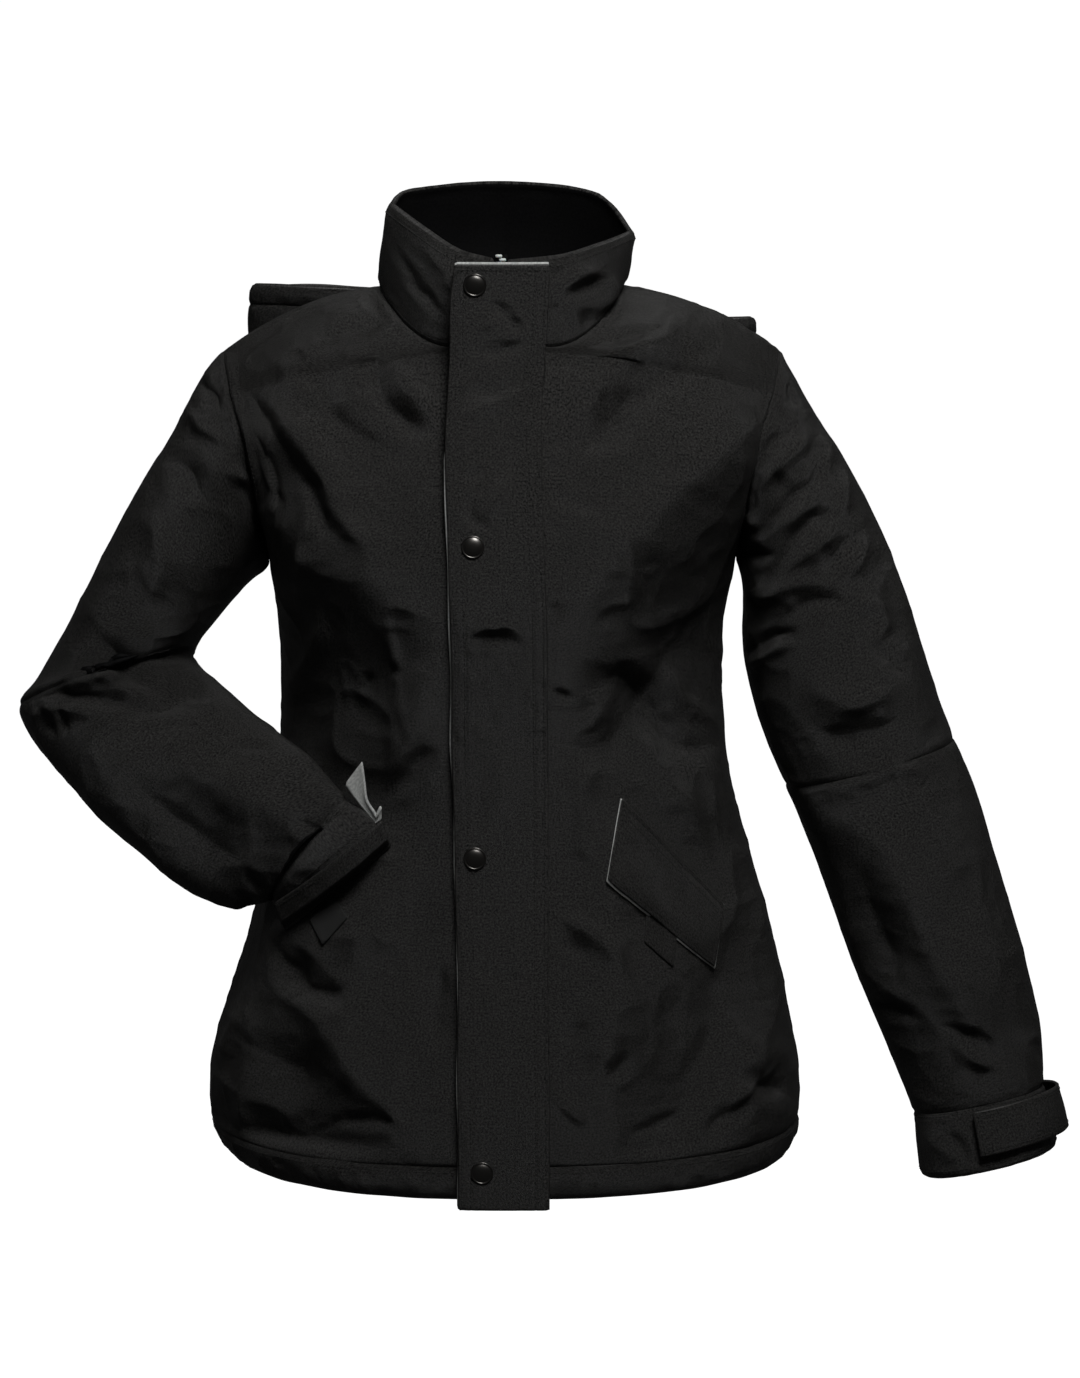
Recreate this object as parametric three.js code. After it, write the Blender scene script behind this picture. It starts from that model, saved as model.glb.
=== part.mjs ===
import * as THREE from "three";

// A hip length shell parka, kept in the form it has when it is worn.
// Millimetres, +Z up, the front faces -Y, the wearer's left arm is at +X.
// The origin is the middle of the neck base, level with the high shoulder points.

// Driving sizes of the garment
const bodyWall = 3.5;
const foldedWall = 5;
const flapWall = 4;
const hoodWall = 3;
const seamGap = 0.5;
const restGap = 0.8;
const zipSlot = 6;
const flapHalf = 34;
const hemTop = -609;
const hemBottom = -634;
const armpitZ = -197;
const neckRow = -66;
const roundness = 2.3;
const axisStep = 0.2;
const settledPlace = 3.2;
const blendFrom = 0.35;
const blendOver = 0.3;

const point = (x, y, z) => new THREE.Vector3(x, y, z);
const mix = (a, b, k) => a + (b - a) * k;
const signedPower = (value, power) => Math.sign(value) * Math.abs(value) ** (2 / power);
const clamp = (value, low, high) => Math.min(high, Math.max(low, value));
const ease = (k) => clamp(k, 0, 1) ** 2 * (3 - 2 * clamp(k, 0, 1));
const steps = (from, to, count) => (
  Array.from({ length: count + 1 }, (_, i) => mix(from, to, i / count))
);

// A smooth curve through stations [place, value, value, ...] in rising order of place
function through(stations) {
  const slopeAt = (i, c) => {
    const before = stations[Math.max(i - 1, 0)];
    const after = stations[Math.min(i + 1, stations.length - 1)];
    return (after[c] - before[c]) / (after[0] - before[0]);
  };
  return (place) => {
    const x = clamp(place, stations[0][0], stations[stations.length - 1][0]);
    let i = 0;
    while (i < stations.length - 2 && x > stations[i + 1][0]) i += 1;
    const [a, b] = [stations[i], stations[i + 1]];
    const span = b[0] - a[0];
    const k = (x - a[0]) / span;
    return a.slice(1).map((_, j) => {
      const c = j + 1;
      const [from, to] = [slopeAt(i, c) * span, slopeAt(i + 1, c) * span];
      const turn = 2 * a[c] - 2 * b[c] + from + to;
      return a[c] + k * (from + k * (3 * (b[c] - a[c]) - 2 * from - to + k * turn));
    });
  };
}

// Half widths and depths of the body below the armpits: z, right, left, front, back
const bodyStations = [
  [-634, 198, 208, 139, 134],
  [-609, 213, 216, 142, 138],
  [-580, 215, 217, 141, 136],
  [-554, 210.6, 213, 139, 133],
  [-526, 202, 207.5, 135, 129],
  [-496, 191.6, 201, 130, 123],
  [-460, 182, 191.5, 124, 115],
  [-425, 174, 181, 119, 108],
  [-391, 167, 172, 116, 101],
  [-340, 162, 161, 115, 94],
  [-312, 160, 159, 117, 95],
  [-288, 160, 157.5, 120, 97],
  [-258, 160, 157.5, 126, 102],
  [-235, 162, 159, 130, 106],
  [armpitZ, 166, 166, 133, 112],
];
const bodySize = through(bodyStations);

// Above the armpits each row runs from the armhole to the middle or the neckline.
// row, then x y z of its armhole end, of its corner and of its inner end
const frontStations = [
  [-152, 171, -46, -155, 176, -122, -150, 0, -125, -146],
  [-105, 180, -60, -105, 186, -106, -98, 0, -111, -92],
  [neckRow, 191, -42, -76, 170, -84, -60, 0, -92, -36],
  [-44, 194, -32, -64, 150, -76, -44, 42, -86, -33],
  [-28, 196, -24, -56, 140, -60, -32, 64, -71, -23],
  [-12, 197, -16, -50, 140, -36, -20, 80, -43, -8],
  [0, 197, -10, -46, 142, -12, -4, 87, -12, 0],
];
const backStations = [
  [-152, 170, 44, -155, 174, 108, -150, 0, 108, -146],
  [-105, 178, 58, -105, 180, 102, -98, 0, 100, -92],
  [neckRow, 190, 40, -76, 165, 84, -56, 0, 72, -22],
  [-44, 193, 26, -64, 150, 66, -40, 38, 62, -16],
  [-28, 195, 12, -56, 142, 46, -28, 60, 42, -9],
  [-12, 196.5, 0, -50, 140, 18, -14, 78, 14, -3],
  [0, 197, -10, -46, 142, -12, -4, 87, -12, 0],
];

function rowCurve(side, face) {
  const lowerRow = (z) => {
    const [right, left, front, back] = bodySize(z);
    const width = side < 0 ? right : left;
    const depth = face < 0 ? -front : back;
    return [width, 0, z, width, depth, z, 0, depth, z];
  };
  const joining = [-235, armpitZ].map((z) => [z, ...lowerRow(z)]);
  const upperRow = through([...joining, ...(face < 0 ? frontStations : backStations)]);
  return (row) => (row <= armpitZ ? lowerRow(row) : upperRow(row));
}

// Large folds on the front: x, z, reach, height; all fade out at seams and pockets
const foldLines = [
  { height: 8, reach: 20, path: [[-176, -84], [-140, -112], [-112, -158], [-74, -174], [-52, -168]] },
  { height: 6, reach: 22, path: [[-128, -44], [-84, -80], [-62, -118]] },
  { height: 7, reach: 22, path: [[-150, -196], [-140, -236], [-146, -290]] },
  { height: 8, reach: 24, path: [[160, -64], [112, -84], [70, -120], [52, -170]] },
  { height: 7, reach: 24, path: [[150, -176], [112, -214], [74, -262]] },
  { height: 6, reach: 24, path: [[-150, -486], [-104, -540], [-66, -576]] },
  { height: 6, reach: 24, path: [[186, -516], [132, -546], [72, -562]] },
];
const backFoldLines = [
  { height: 7, reach: 24, path: [[-150, -190], [-96, -232], [-52, -300]] },
  { height: 7, reach: 24, path: [[148, -200], [104, -250], [66, -330]] },
  { height: 6, reach: 26, path: [[-60, -380], [-96, -470], [-112, -560]] },
  { height: 6, reach: 26, path: [[70, -400], [92, -480], [128, -566]] },
];

function toLine(x, z, path) {
  let nearest = Infinity;
  path.slice(1).forEach(([bx, bz], i) => {
    const [ax, az] = path[i];
    const length = (bx - ax) ** 2 + (bz - az) ** 2;
    const k = clamp(((x - ax) * (bx - ax) + (z - az) * (bz - az)) / length, 0, 1);
    nearest = Math.min(nearest, Math.hypot(x - mix(ax, bx, k), z - mix(az, bz, k)));
  });
  return nearest;
}

// The hand pocket of the right side: cloth pressed in above its mouth, pushed out below
const mouthTop = { x: -84, z: -368 };
const mouthFoot = { x: -158, z: -434 };
const mouthPress = 8;
const mouthPush = 9;

function pocketRelief(x, z) {
  const [dx, dz] = [mouthFoot.x - mouthTop.x, mouthFoot.z - mouthTop.z];
  const length = Math.hypot(dx, dz);
  const along = ((x - mouthTop.x) * dx + (z - mouthTop.z) * dz) / length;
  const below = ((x - mouthTop.x) * dz - (z - mouthTop.z) * dx) / -length;
  const within = Math.exp(-(((along - length / 2) / (length * 0.62)) ** 4));
  const press = mouthPress * Math.exp(-(((below + 34) / 34) ** 2));
  const push = mouthPush * Math.exp(-(((below - 34) / 34) ** 2));
  return within * (push - press);
}

function foldHeight(x, z, folds) {
  return folds.reduce((sum, { height, reach, path }) => (
    sum + height * Math.exp(-((toLine(x, z, path) / reach) ** 2))
  ), 0);
}

function frontRelief(x, z) {
  const besideFlap = ease((Math.abs(x) - flapHalf) / flapHalf);
  return besideFlap * foldHeight(x, z, foldLines) + pocketRelief(x, z);
}

// One quarter of the body as rows of points, side seam or armhole first
function quarter(side, face, rowPlaces, columnCount) {
  const curve = rowCurve(side, face);
  const middle = face < 0 ? zipSlot : 0;
  return rowPlaces.map((row) => {
    const [ax, ay, az, cx, cy, cz, nx, ny, nz] = curve(row);
    const inner = Math.max(nx, middle);
    return steps(0, Math.PI / 2, columnCount).map((angle) => {
      const fromSide = 1 - Math.sin(angle) ** (2 / roundness);
      const fromMiddle = 1 - Math.cos(angle) ** (2 / roundness);
      const corner = point(cx, cy, cz);
      const p = corner.clone()
        .addScaledVector(point(ax, ay, az).sub(corner), fromSide)
        .addScaledVector(point(inner, ny, nz).sub(corner), fromMiddle);
      const inside = Math.sin(angle * 2) ** 0.7;
      const open = ease((row - hemTop) / 40) * ease(-row / 40);
      const relief = face < 0 ? frontRelief(side * p.x, p.z) : foldHeight(side * p.x, p.z, backFoldLines);
      return point(side * p.x, p.y + face * relief * inside * open, p.z);
    });
  });
}

const columnCount = 11;
const bodyRows = [...steps(hemTop, armpitZ, 14), ...steps(armpitZ, neckRow, 6).slice(1)];
const neckRows = steps(neckRow, 0, 6);
const rows = [...bodyRows, ...neckRows.slice(1)];
const armpitRow = bodyRows.indexOf(armpitZ);
const firstNeckRow = bodyRows.length - 1;

const quarters = {
  frontLeft: quarter(1, -1, rows, columnCount),
  frontRight: quarter(-1, -1, rows, columnCount),
  backLeft: quarter(1, 1, rows, columnCount),
  backRight: quarter(-1, 1, rows, columnCount),
};

// Hem casing: the body's lowest rows carried on below the hem seam
const casingRows = [hemTop, -617, -626, hemBottom];
const casingSwell = [0, 1.6, 1.2, 0];
function casingQuarter(side, face) {
  const middle = face < 0 ? zipSlot : 0;
  return casingRows.map((z, i) => {
    const [right, left, front, back] = bodySize(z);
    const width = side < 0 ? right : left;
    const depth = face < 0 ? -front : back;
    return steps(0, Math.PI / 2, columnCount).map((angle) => {
      const across = Math.cos(angle) ** (2 / roundness);
      const deep = Math.sin(angle) ** (2 / roundness);
      const x = width - (width - middle) * (1 - across);
      const y = (depth + Math.sign(depth) * casingSwell[i]) * deep;
      return point(side * (x + casingSwell[i] * across), y, z);
    });
  });
}
const joined = (...patches) => patches[0].map((_, i) => patches.flatMap((patch, j) => (
  j === 0 ? patch[i] : patch[i].slice(1)
)));
const reversed = (patch) => patch.map((row) => [...row].reverse());
const casing = joined(
  reversed(casingQuarter(-1, -1)),
  casingQuarter(-1, 1),
  reversed(casingQuarter(1, 1)),
  casingQuarter(1, -1),
);

// Collar: stands on the neckline; top edge stations by share of the way round
const neckline = [
  ...quarters.frontRight.slice(firstNeckRow).map((row) => row[columnCount]),
  ...quarters.backRight.slice(firstNeckRow, -1).reverse().map((row) => row[columnCount]),
  ...quarters.backLeft.slice(firstNeckRow + 1).map((row) => row[columnCount]),
  ...quarters.frontLeft.slice(firstNeckRow, -1).reverse().map((row) => row[columnCount]),
];
const collarTop = through([
  [0, -6, -98, 27],
  [0.08, -30, -92, 33],
  [0.17, -54, -68, 45],
  [0.25, -76, -32, 56],
  [0.33, -80, 6, 56],
  [0.41, -66, 44, 61],
  [0.5, 0, 67, 64],
  [0.59, 68, 48, 58],
  [0.67, 93, 4, 37],
  [0.75, 90, -30, 37],
  [0.83, 70, -64, 34],
  [0.92, 42, -90, 29],
  [1, 6, -98, 26],
]);
function shares(points) {
  const lengths = [0];
  points.slice(1).forEach((p, i) => lengths.push(lengths[i] + p.distanceTo(points[i])));
  return lengths.map((length) => length / lengths[lengths.length - 1]);
}
const neckShares = shares(neckline);
const collarHeights = steps(0, 1, 4);
const collarSwell = 3;
const footLift = 0.3;
const collar = collarHeights.map((k) => neckline.map((foot, i) => {
  const top = point(...collarTop(neckShares[i]));
  const p = foot.clone().lerp(top, k);
  p.z += footLift * (1 - k);
  const out = point(p.x, p.y, 0).normalize();
  return p.addScaledVector(out, collarSwell * Math.sin(Math.PI * k));
}));

// Sleeves: rings carried out from the armhole, given by an outer and an inner point
function armhole(side) {
  const front = side < 0 ? quarters.frontRight : quarters.frontLeft;
  const back = side < 0 ? quarters.backRight : quarters.backLeft;
  const up = front.slice(armpitRow).map((row) => row[0]);
  const down = back.slice(armpitRow).map((row) => row[0]).reverse();
  return { up, down: down.slice(1) };
}

// place, outer x y z, inner x y z, half depth, bow round the body
const hangingRings = [
  [0, 200, -4, -47, 166, 0, -197, 62, 0],
  [1, 208, -3, -64, 170, 0, -208, 66, 0],
  [2, 226, -2, -97, 172, 0, -220, 67, 0],
  [3, 250, -2, -136, 172.5, -1, -234, 66, 0],
  [4, 271, -3, -176, 172, -2, -252, 65, 0],
  [5, 288, -4, -220, 174, -4, -275, 64, 0],
  [6, 302, -6, -260, 181, -6, -304, 63, 0],
  [7, 313, -8, -296, 192, -8, -333, 61, 0],
  [8, 325, -10, -328, 204, -11, -361, 59, 0],
  [9, 341, -14, -367, 218, -15, -396, 60, 0],
  [10, 355, -18, -408, 232, -19, -432, 57, 0],
  [11, 367, -22, -447, 245, -23, -468, 54, 0],
  [12, 378, -26, -488, 258, -27, -504, 52, 0],
  [13, 388, -30, -528, 274, -31, -541, 49, 0],
  [14, 391, -34, -556, 287, -35, -572, 47, 0],
  [15, 392, -37, -578, 297, -38, -599, 44, 0],
  [16, 398, -40, -600, 300, -41, -621, 45.5, 0],
  [17, 402, -42, -621, 303, -44, -644, 44, 0],
];
const bentRings = [
  [0, -197, -4, -44, -166, 0, -197, 62, 0],
  [1, -210, -2, -62, -170, 2, -206, 63, 0],
  [2, -229, 0, -97, -178, 4, -213, 60, 0],
  [3, -254, 3, -139, -188, 6, -223, 57, 0],
  [4, -282, 6, -190, -199, 8, -236, 55, 0],
  [5, -309, 8, -241, -209, 8, -249, 54, 0],
  [6, -333, 8, -283, -217, 6, -260, 53, 0],
  [7, -348, 6, -308, -221, 2, -269, 52, 0],
  [8, -338, 0, -333, -216, -6, -276, 50, 0],
  [9, -316, -14, -356, -205, -16, -283, 47, 0],
  [10, -288, -32, -381, -191, -32, -292, 42, 0],
  [11, -254, -46, -407, -176, -50, -301, 37, 0],
  [12, -222, -54, -427, -158, -70, -311, 30, 2],
  [13, -190, -64, -438, -134, -88, -326, 22, 5],
  [14, -164, -69, -433, -110, -98, -353, 14, 8],
  [15, -161, -72, -435, -98, -106, -360, 11.5, 9],
  [16, -157, -74, -438, -85, -113, -371, 9, 9],
];

// Places round a ring: 0 at the outer point, half a turn at the inner one, front side first
const ringPower = 2.15;
function ringAngles({ up, down }) {
  const front = shares(up).map((k) => Math.PI * (1 - k));
  const back = shares([up[up.length - 1], ...down]).map((k) => -Math.PI * k);
  return [...front, ...back.slice(1, -1)];
}

function ringAt(curve, place, angles) {
  const middle = (at) => {
    const [ox, oy, oz, ix, iy, iz] = curve(at);
    return point((ox + ix) / 2, (oy + iy) / 2, (oz + iz) / 2);
  };
  const [ox, oy, oz, ix, iy, iz, depth, bow] = curve(place);
  const reach = point(ox - ix, oy - iy, oz - iz).multiplyScalar(0.5);
  const axis = middle(place + axisStep).sub(middle(place - axisStep));
  const deep = axis.cross(reach).normalize();
  if (deep.y > 0) deep.negate();
  return angles.map((angle) => {
    const [c, s] = [Math.cos(angle), Math.sin(angle)];
    const across = signedPower(c, ringPower);
    const forward = signedPower(s, ringPower);
    return middle(place)
      .addScaledVector(reach, across)
      .addScaledVector(deep, forward * depth + bow * (1 - across ** 2));
  });
}

// Folds of the sleeves: place along the sleeve and turn round it in degrees
const sleeveFolds = {
  left: [
    { height: 6, reach: 17, path: [[1.6, 30], [2.6, 80], [3.6, 130]] },
    { height: 6, reach: 16, path: [[3.4, 15], [4.3, 70], [5.2, 120]] },
    { height: 5, reach: 16, path: [[5.4, 40], [5.6, 90], [6.1, 150]] },
    { height: 6, reach: 18, path: [[6.9, 0], [7.2, 70], [7.0, 140]] },
    { height: 6, reach: 18, path: [[8.9, 10], [8.7, 80], [9.1, 150]] },
    { height: 5, reach: 17, path: [[10.8, 20], [11.8, 80], [12.2, 140]] },
    { height: 5, reach: 15, path: [[13.8, 10], [14.1, 80], [13.8, 150]] },
    { height: 6, reach: 18, path: [[2.4, -30], [3.6, -90], [4.4, -140]] },
    { height: 6, reach: 18, path: [[6.8, -20], [7.3, -90], [7.1, -150]] },
    { height: 6, reach: 18, path: [[9.2, -30], [8.8, -100], [9.3, -150]] },
    { height: 5, reach: 17, path: [[12.0, -20], [12.9, -90], [12.6, -150]] },
  ],
  right: [
    { height: 5, reach: 16, path: [[1.8, 40], [2.6, 90], [3.3, 140]] },
    { height: 5, reach: 16, path: [[4.0, 20], [4.6, 80], [5.4, 150]] },
    { height: 5, reach: 15, path: [[5.9, 50], [6.0, 100], [5.9, 150]] },
    { height: 5, reach: 15, path: [[8.3, 40], [8.4, 90], [8.5, 150]] },
    { height: 6, reach: 17, path: [[9.6, 20], [10.0, 80], [9.6, 150]] },
    { height: 5, reach: 16, path: [[11.6, 30], [12.0, 80], [11.8, 130]] },
    { height: 6, reach: 18, path: [[2.6, -30], [3.6, -90], [4.6, -140]] },
    { height: 6, reach: 18, path: [[5.8, -30], [6.2, -90], [6.0, -150]] },
  ],
};
const placeLength = 40;
const degreeLength = 1.05;
function sleeveRelief(folds, place, angle, last) {
  const inMillimetres = folds.map(({ path, ...fold }) => ({
    ...fold,
    path: path.map(([at, turn]) => [at * placeLength, turn * degreeLength]),
  }));
  const turn = THREE.MathUtils.radToDeg(angle);
  const clear = ease(place / 1.5) * ease((last - place) / 1.2);
  return clear * foldHeight(place * placeLength, turn * degreeLength, inMillimetres);
}

// Rings of a sleeve; the first ones settle from the armhole's own outline into ovals
function sleeveRows(side, places) {
  const [loop, stations, folds] = [loops[side], rings[side], sleeveFolds[side]];
  const curve = through(stations);
  const angles = ringAngles(loop);
  const held = [...loop.up, ...loop.down.slice(0, -1)];
  const first = ringAt(curve, stations[0][0], angles);
  const offsets = held.map((p, i) => p.clone().sub(first[i]));
  return places.map((place) => {
    const [ox, oy, oz, ix, iy, iz] = curve(place);
    const middle = point((ox + ix) / 2, (oy + iy) / 2, (oz + iz) / 2);
    return ringAt(curve, place, angles).map((p, i) => {
      const out = p.clone().sub(middle).normalize();
      return p.addScaledVector(out, sleeveRelief(folds, place, angles[i], wrist[side]))
        .addScaledVector(offsets[i], 1 - ease(place / settledPlace));
    });
  });
}
const elbow = { left: 8, right: 7 };
const wrist = { left: 15, right: 14 };
const cuffEnd = { left: 17, right: 16 };
const rings = { left: hangingRings, right: bentRings };
const loops = { left: armhole(1), right: armhole(-1) };
const sleeves = {
  leftUpper: sleeveRows("left", steps(0, elbow.left, 13)),
  leftLower: sleeveRows("left", steps(elbow.left, wrist.left, 11)),
  leftCuff: sleeveRows("left", steps(wrist.left, cuffEnd.left, 3)),
  rightUpper: sleeveRows("right", steps(0, elbow.right, 11)),
  rightLower: sleeveRows("right", steps(elbow.right, wrist.right, 12)),
  rightCuff: sleeveRows("right", steps(wrist.right, cuffEnd.right, 3)),
};

const patch = (grid, flip = false, around = false) => ({ grid: flip ? reversed(grid) : grid, around });

// A tube cut into two panels: from its first column to the turn, and from the turn back to the first
const twoPanels = (grid, turn) => [
  grid.map((row) => row.slice(0, turn + 1)),
  grid.map((row) => [...row.slice(turn), row[0]]),
];
const shoulderColumn = loops.right.up.length - 1;
const [rightUpperFront, rightUpperBack] = twoPanels(sleeves.rightUpper, shoulderColumn);
const [rightLowerFront, rightLowerBack] = twoPanels(sleeves.rightLower, shoulderColumn);

// Skins: patches of points welded into one surface that faces outward
const keyOf = ({ x, y, z }) => [x, y, z].map((value) => Math.round(value * 100)).join();

function weld(patches) {
  const places = [];
  const index = new Map();
  const triangles = [];
  const at = (p) => {
    const key = keyOf(p);
    if (!index.has(key)) index.set(key, places.push(p.clone()) - 1);
    return index.get(key);
  };
  patches.forEach(({ grid, around }) => {
    const wide = grid[0].length;
    grid.slice(1).forEach((row, i) => {
      for (let j = 0; j < (around ? wide : wide - 1); j += 1) {
        const k = (j + 1) % wide;
        const [a, b, c, d] = [grid[i][j], grid[i][k], row[k], row[j]].map(at);
        [[a, b, c], [a, c, d]].forEach((triangle) => {
          if (new Set(triangle).size === 3) triangles.push(triangle);
        });
      }
    });
  });
  return { places, triangles };
}

function faceNormal(places, [a, b, c]) {
  return places[b].clone().sub(places[a]).cross(places[c].clone().sub(places[a]));
}

function vertexNormals({ places, triangles }) {
  const normals = places.map(() => point(0, 0, 0));
  triangles.forEach((triangle) => {
    const normal = faceNormal(places, triangle);
    triangle.forEach((i) => normals[i].add(normal));
  });
  return normals.map((normal) => normal.normalize());
}

// Edges used by one triangle only: the cut edge of the cloth, in the triangle's direction
function cutEdges({ triangles }) {
  const used = new Set(triangles.flatMap(([a, b, c]) => [`${a},${b}`, `${b},${c}`, `${c},${a}`]));
  return triangles.flatMap((triangle) => triangle.map((a, i) => ({ a, b: triangle[(i + 1) % 3], triangle })))
    .filter(({ a, b }) => !used.has(`${b},${a}`));
}

// Pieces sewn to one another share their directions at the seam, so their edges lie side by side
function directions(patches) {
  const all = weld(patches);
  return new Map(vertexNormals(all).map((normal, i) => [keyOf(all.places[i]), normal]));
}

// A patch moved out along its own directions, by a height given for each column
function raised(grid, lift, flip) {
  const out = directions([patch(grid, flip)]);
  return grid.map((row) => row.map((p, j) => p.clone().addScaledVector(out.get(keyOf(p)), lift(j))));
}

// A cloth piece: its outer skin, the same skin moved in by the wall, and a rim all round
function clothSolid(patches, wall, near = directions(patches), far = near) {
  const outer = weld(patches);
  const edges = cutEdges(outer);
  const inward = outer.places.map(() => point(0, 0, 0));
  edges.forEach(({ a, b, triangle }) => {
    const along = outer.places[b].clone().sub(outer.places[a]).normalize();
    const across = faceNormal(outer.places, triangle).normalize().cross(along);
    inward[a].add(across);
    inward[b].add(across);
  });
  const mitre = (sum) => seamGap / Math.max(1, sum.lengthSq());
  const skinOut = outer.places.map((p, i) => p.clone().addScaledVector(inward[i], mitre(inward[i])));
  const skinIn = skinOut.map((p, i) => {
    const own = near.get(keyOf(outer.places[i]));
    const seam = far.get(keyOf(outer.places[i]));
    const share = ease((own.dot(seam) - blendFrom) / blendOver);
    return p.clone().addScaledVector(own.clone().lerp(seam, share).normalize(), -wall);
  });
  const count = skinOut.length;
  const triangles = [
    ...outer.triangles,
    ...outer.triangles.map(([a, b, c]) => [a + count, c + count, b + count]),
    ...edges.flatMap(({ a, b }) => [[b, a, a + count], [b, a + count, b + count]]),
  ];
  return { places: [...skinOut, ...skinIn], triangles };
}

function geometryOf({ places, triangles }) {
  const geometry = new THREE.BufferGeometry();
  const numbers = places.flatMap(({ x, y, z }) => [x, y, z]);
  geometry.setAttribute("position", new THREE.Float32BufferAttribute(numbers, 3));
  geometry.setIndex(triangles.flat());
  return geometry;
}

const piece = (name, part, wall, ...patches) => ({ name, part, wall, patches });
const shell = [
  piece("front_left", "body", bodyWall, patch(quarters.frontLeft, true)),
  piece("front_right", "body", bodyWall, patch(quarters.frontRight)),
  piece("back", "body", bodyWall, patch(quarters.backLeft), patch(quarters.backRight, true)),
  piece("hem_casing", "body", foldedWall, patch(casing)),
  piece("collar", "collar", foldedWall, patch(collar, true)),
  piece("sleeve_left_upper", "left", bodyWall, patch(sleeves.leftUpper, true, true)),
  piece("sleeve_left_lower", "left", bodyWall, patch(sleeves.leftLower, true, true)),
  piece("cuff_left", "left", foldedWall, patch(sleeves.leftCuff, true, true)),
  piece("sleeve_right_upper", "right", bodyWall, patch(rightUpperFront)),
  piece("sleeve_right_upper_back", "right", bodyWall, patch(rightUpperBack)),
  piece("sleeve_right_lower", "right", bodyWall, patch(rightLowerFront)),
  piece("sleeve_right_lower_back", "right", bodyWall, patch(rightLowerBack)),
  piece("cuff_right", "right", bodyWall, patch(sleeves.rightCuff, false, true)),
];

// Places on the front below the armpits, for what is sewn or laid on it
function frontPoint(x, z, lift = 0) {
  const [right, left, depth] = bodySize(z);
  const width = x < 0 ? right : left;
  const across = clamp((Math.abs(x) - zipSlot) / (width - zipSlot), 0, 1);
  const angle = Math.acos(across ** (roundness / 2));
  const relief = frontRelief(x, z) * Math.sin(angle * 2) ** 0.7 * ease((z - hemTop) / 40);
  const y = -depth * Math.sin(angle) ** (2 / roundness) - relief;
  return point(x, y - lift, z);
}

// A four cornered piece on the front; corners are x z pairs: sewn edge, then free edge
function onFront([a, b, c, d], lift, across, along) {
  return steps(0, 1, along).map((v) => steps(0, 1, across).map((u) => {
    const x = mix(mix(a[0], b[0], u), mix(d[0], c[0], u), v);
    const z = mix(mix(a[1], b[1], u), mix(d[1], c[1], u), v);
    return frontPoint(x, z, lift(u, v));
  }));
}

// Storm flap: a strip over the zip from above the collar's edge to below the hem
// z, free edge x, sewn edge x, depth of its back face
const flapStations = [
  [-637, -29.5, 33, 147],
  [-610, -29.5, 33, 146],
  [-560, -30, 33, 143.5],
  [-500, -30, 32, 134.5],
  [-440, -31, 32, 124],
  [-380, -32, 32, 119],
  [-330, -33, 32, 118],
  [-280, -34, 31.5, 123.5],
  [-215, -34.5, 31, 134],
  [-160, -36, 28.5, 132],
  [-90, -37, 27, 117],
  [-60, -36, 28, 109],
  [-36, -35, 30, 104],
  [0, -34, 32, 103],
  [25, -31.5, 33, 103.5],
];
const flapBow = 1.6;
const snapGap = 0.8;
const flapCurve = through(flapStations);
const stormFlap = steps(flapStations[0][0], 25, 34).map((z) => {
  const [free, sewn, depth] = flapCurve(z);
  return steps(0, 1, 4).map((k) => {
    const x = mix(free, sewn, k);
    return point(x, -depth - flapWall + flapBow * (x / flapHalf) ** 2, z);
  });
});

// Zip: the closed chain in the slot between the two fronts
const chainHalf = 4.5;
const chainWall = 3;
const chainStations = [
  [-632, 138], [-609, 141], [-560, 140], [-500, 130], [-440, 120.5], [-380, 115.5], [-330, 114.5],
  [-280, 119.5], [-235, 129], [armpitZ, 132], [-146, 124], [-92, 110], [-36, 91.5], [0, 94.5], [30, 97],
];
const chainCurve = through(chainStations);
const zipChain = steps(-632, 30, 30).map((z) => (
  [-1, 1].map((side) => point(side * chainHalf, -chainCurve(z)[0], z))
));

// Pocket flap of the left front, sewn along its upper outer edge
const pocketFlapCorners = [[85, -351], [158, -435], [151, -476], [75, -404]];
const pocketWall = 3;
const pocketFlap = onFront(pocketFlapCorners, () => restGap * 2 + pocketWall, 12, 6);

// Cuff tabs: strips round part of a cuff, standing off it in a shallow loop
function tabRows(side, [from, to], [start, end], loopHeight) {
  const curve = through(rings[side]);
  const turns = steps(start, end, 14);
  const angles = turns.map((turn) => THREE.MathUtils.degToRad(turn));
  const base = steps(from, to, 4).map((place) => ringAt(curve, place, angles));
  const lift = (j) => restGap + tabWall + loopHeight * Math.exp(-((turns[j] / 34) ** 2));
  return raised(base, lift, side === "left");
}
const tabWall = 3;
const cuffTab = tabRows("left", [15.12, 16.45], [97, -60], 7);

// Right pocket: a welt over the cuff that is pushed in, a hook patch and the flap's turned up corner
const weltWall = 3;
const weltCorners = [[-84, -364], [-161, -430], [-154, -450], [-78, -383]];
const weltFront = through([[0, 119], [0.25, 123], [0.5, 119], [0.75, 109], [1, 93]]);
const welt = onFront(weltCorners, () => restGap * 2 + weltWall, 12, 5).map((row, i, all) => {
  const down = i / (all.length - 1);
  return row.map((p, j) => point(p.x, mix(-weltFront(j / (row.length - 1))[0], p.y, ease(down)), p.z));
});
const patchWall = 1.6;
const patchCorners = [[-109, -434], [-119, -422], [-136, -439], [-126, -454]];
const hookPatch = onFront(patchCorners, () => restGap + patchWall, 4, 4);
const turnedCorners = [[-106, -343], [-95, -327], [-80, -358], [-86, -366]];
const turnedCorner = onFront(turnedCorners, (u) => 5 + 3 * u, 5, 5);

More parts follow.
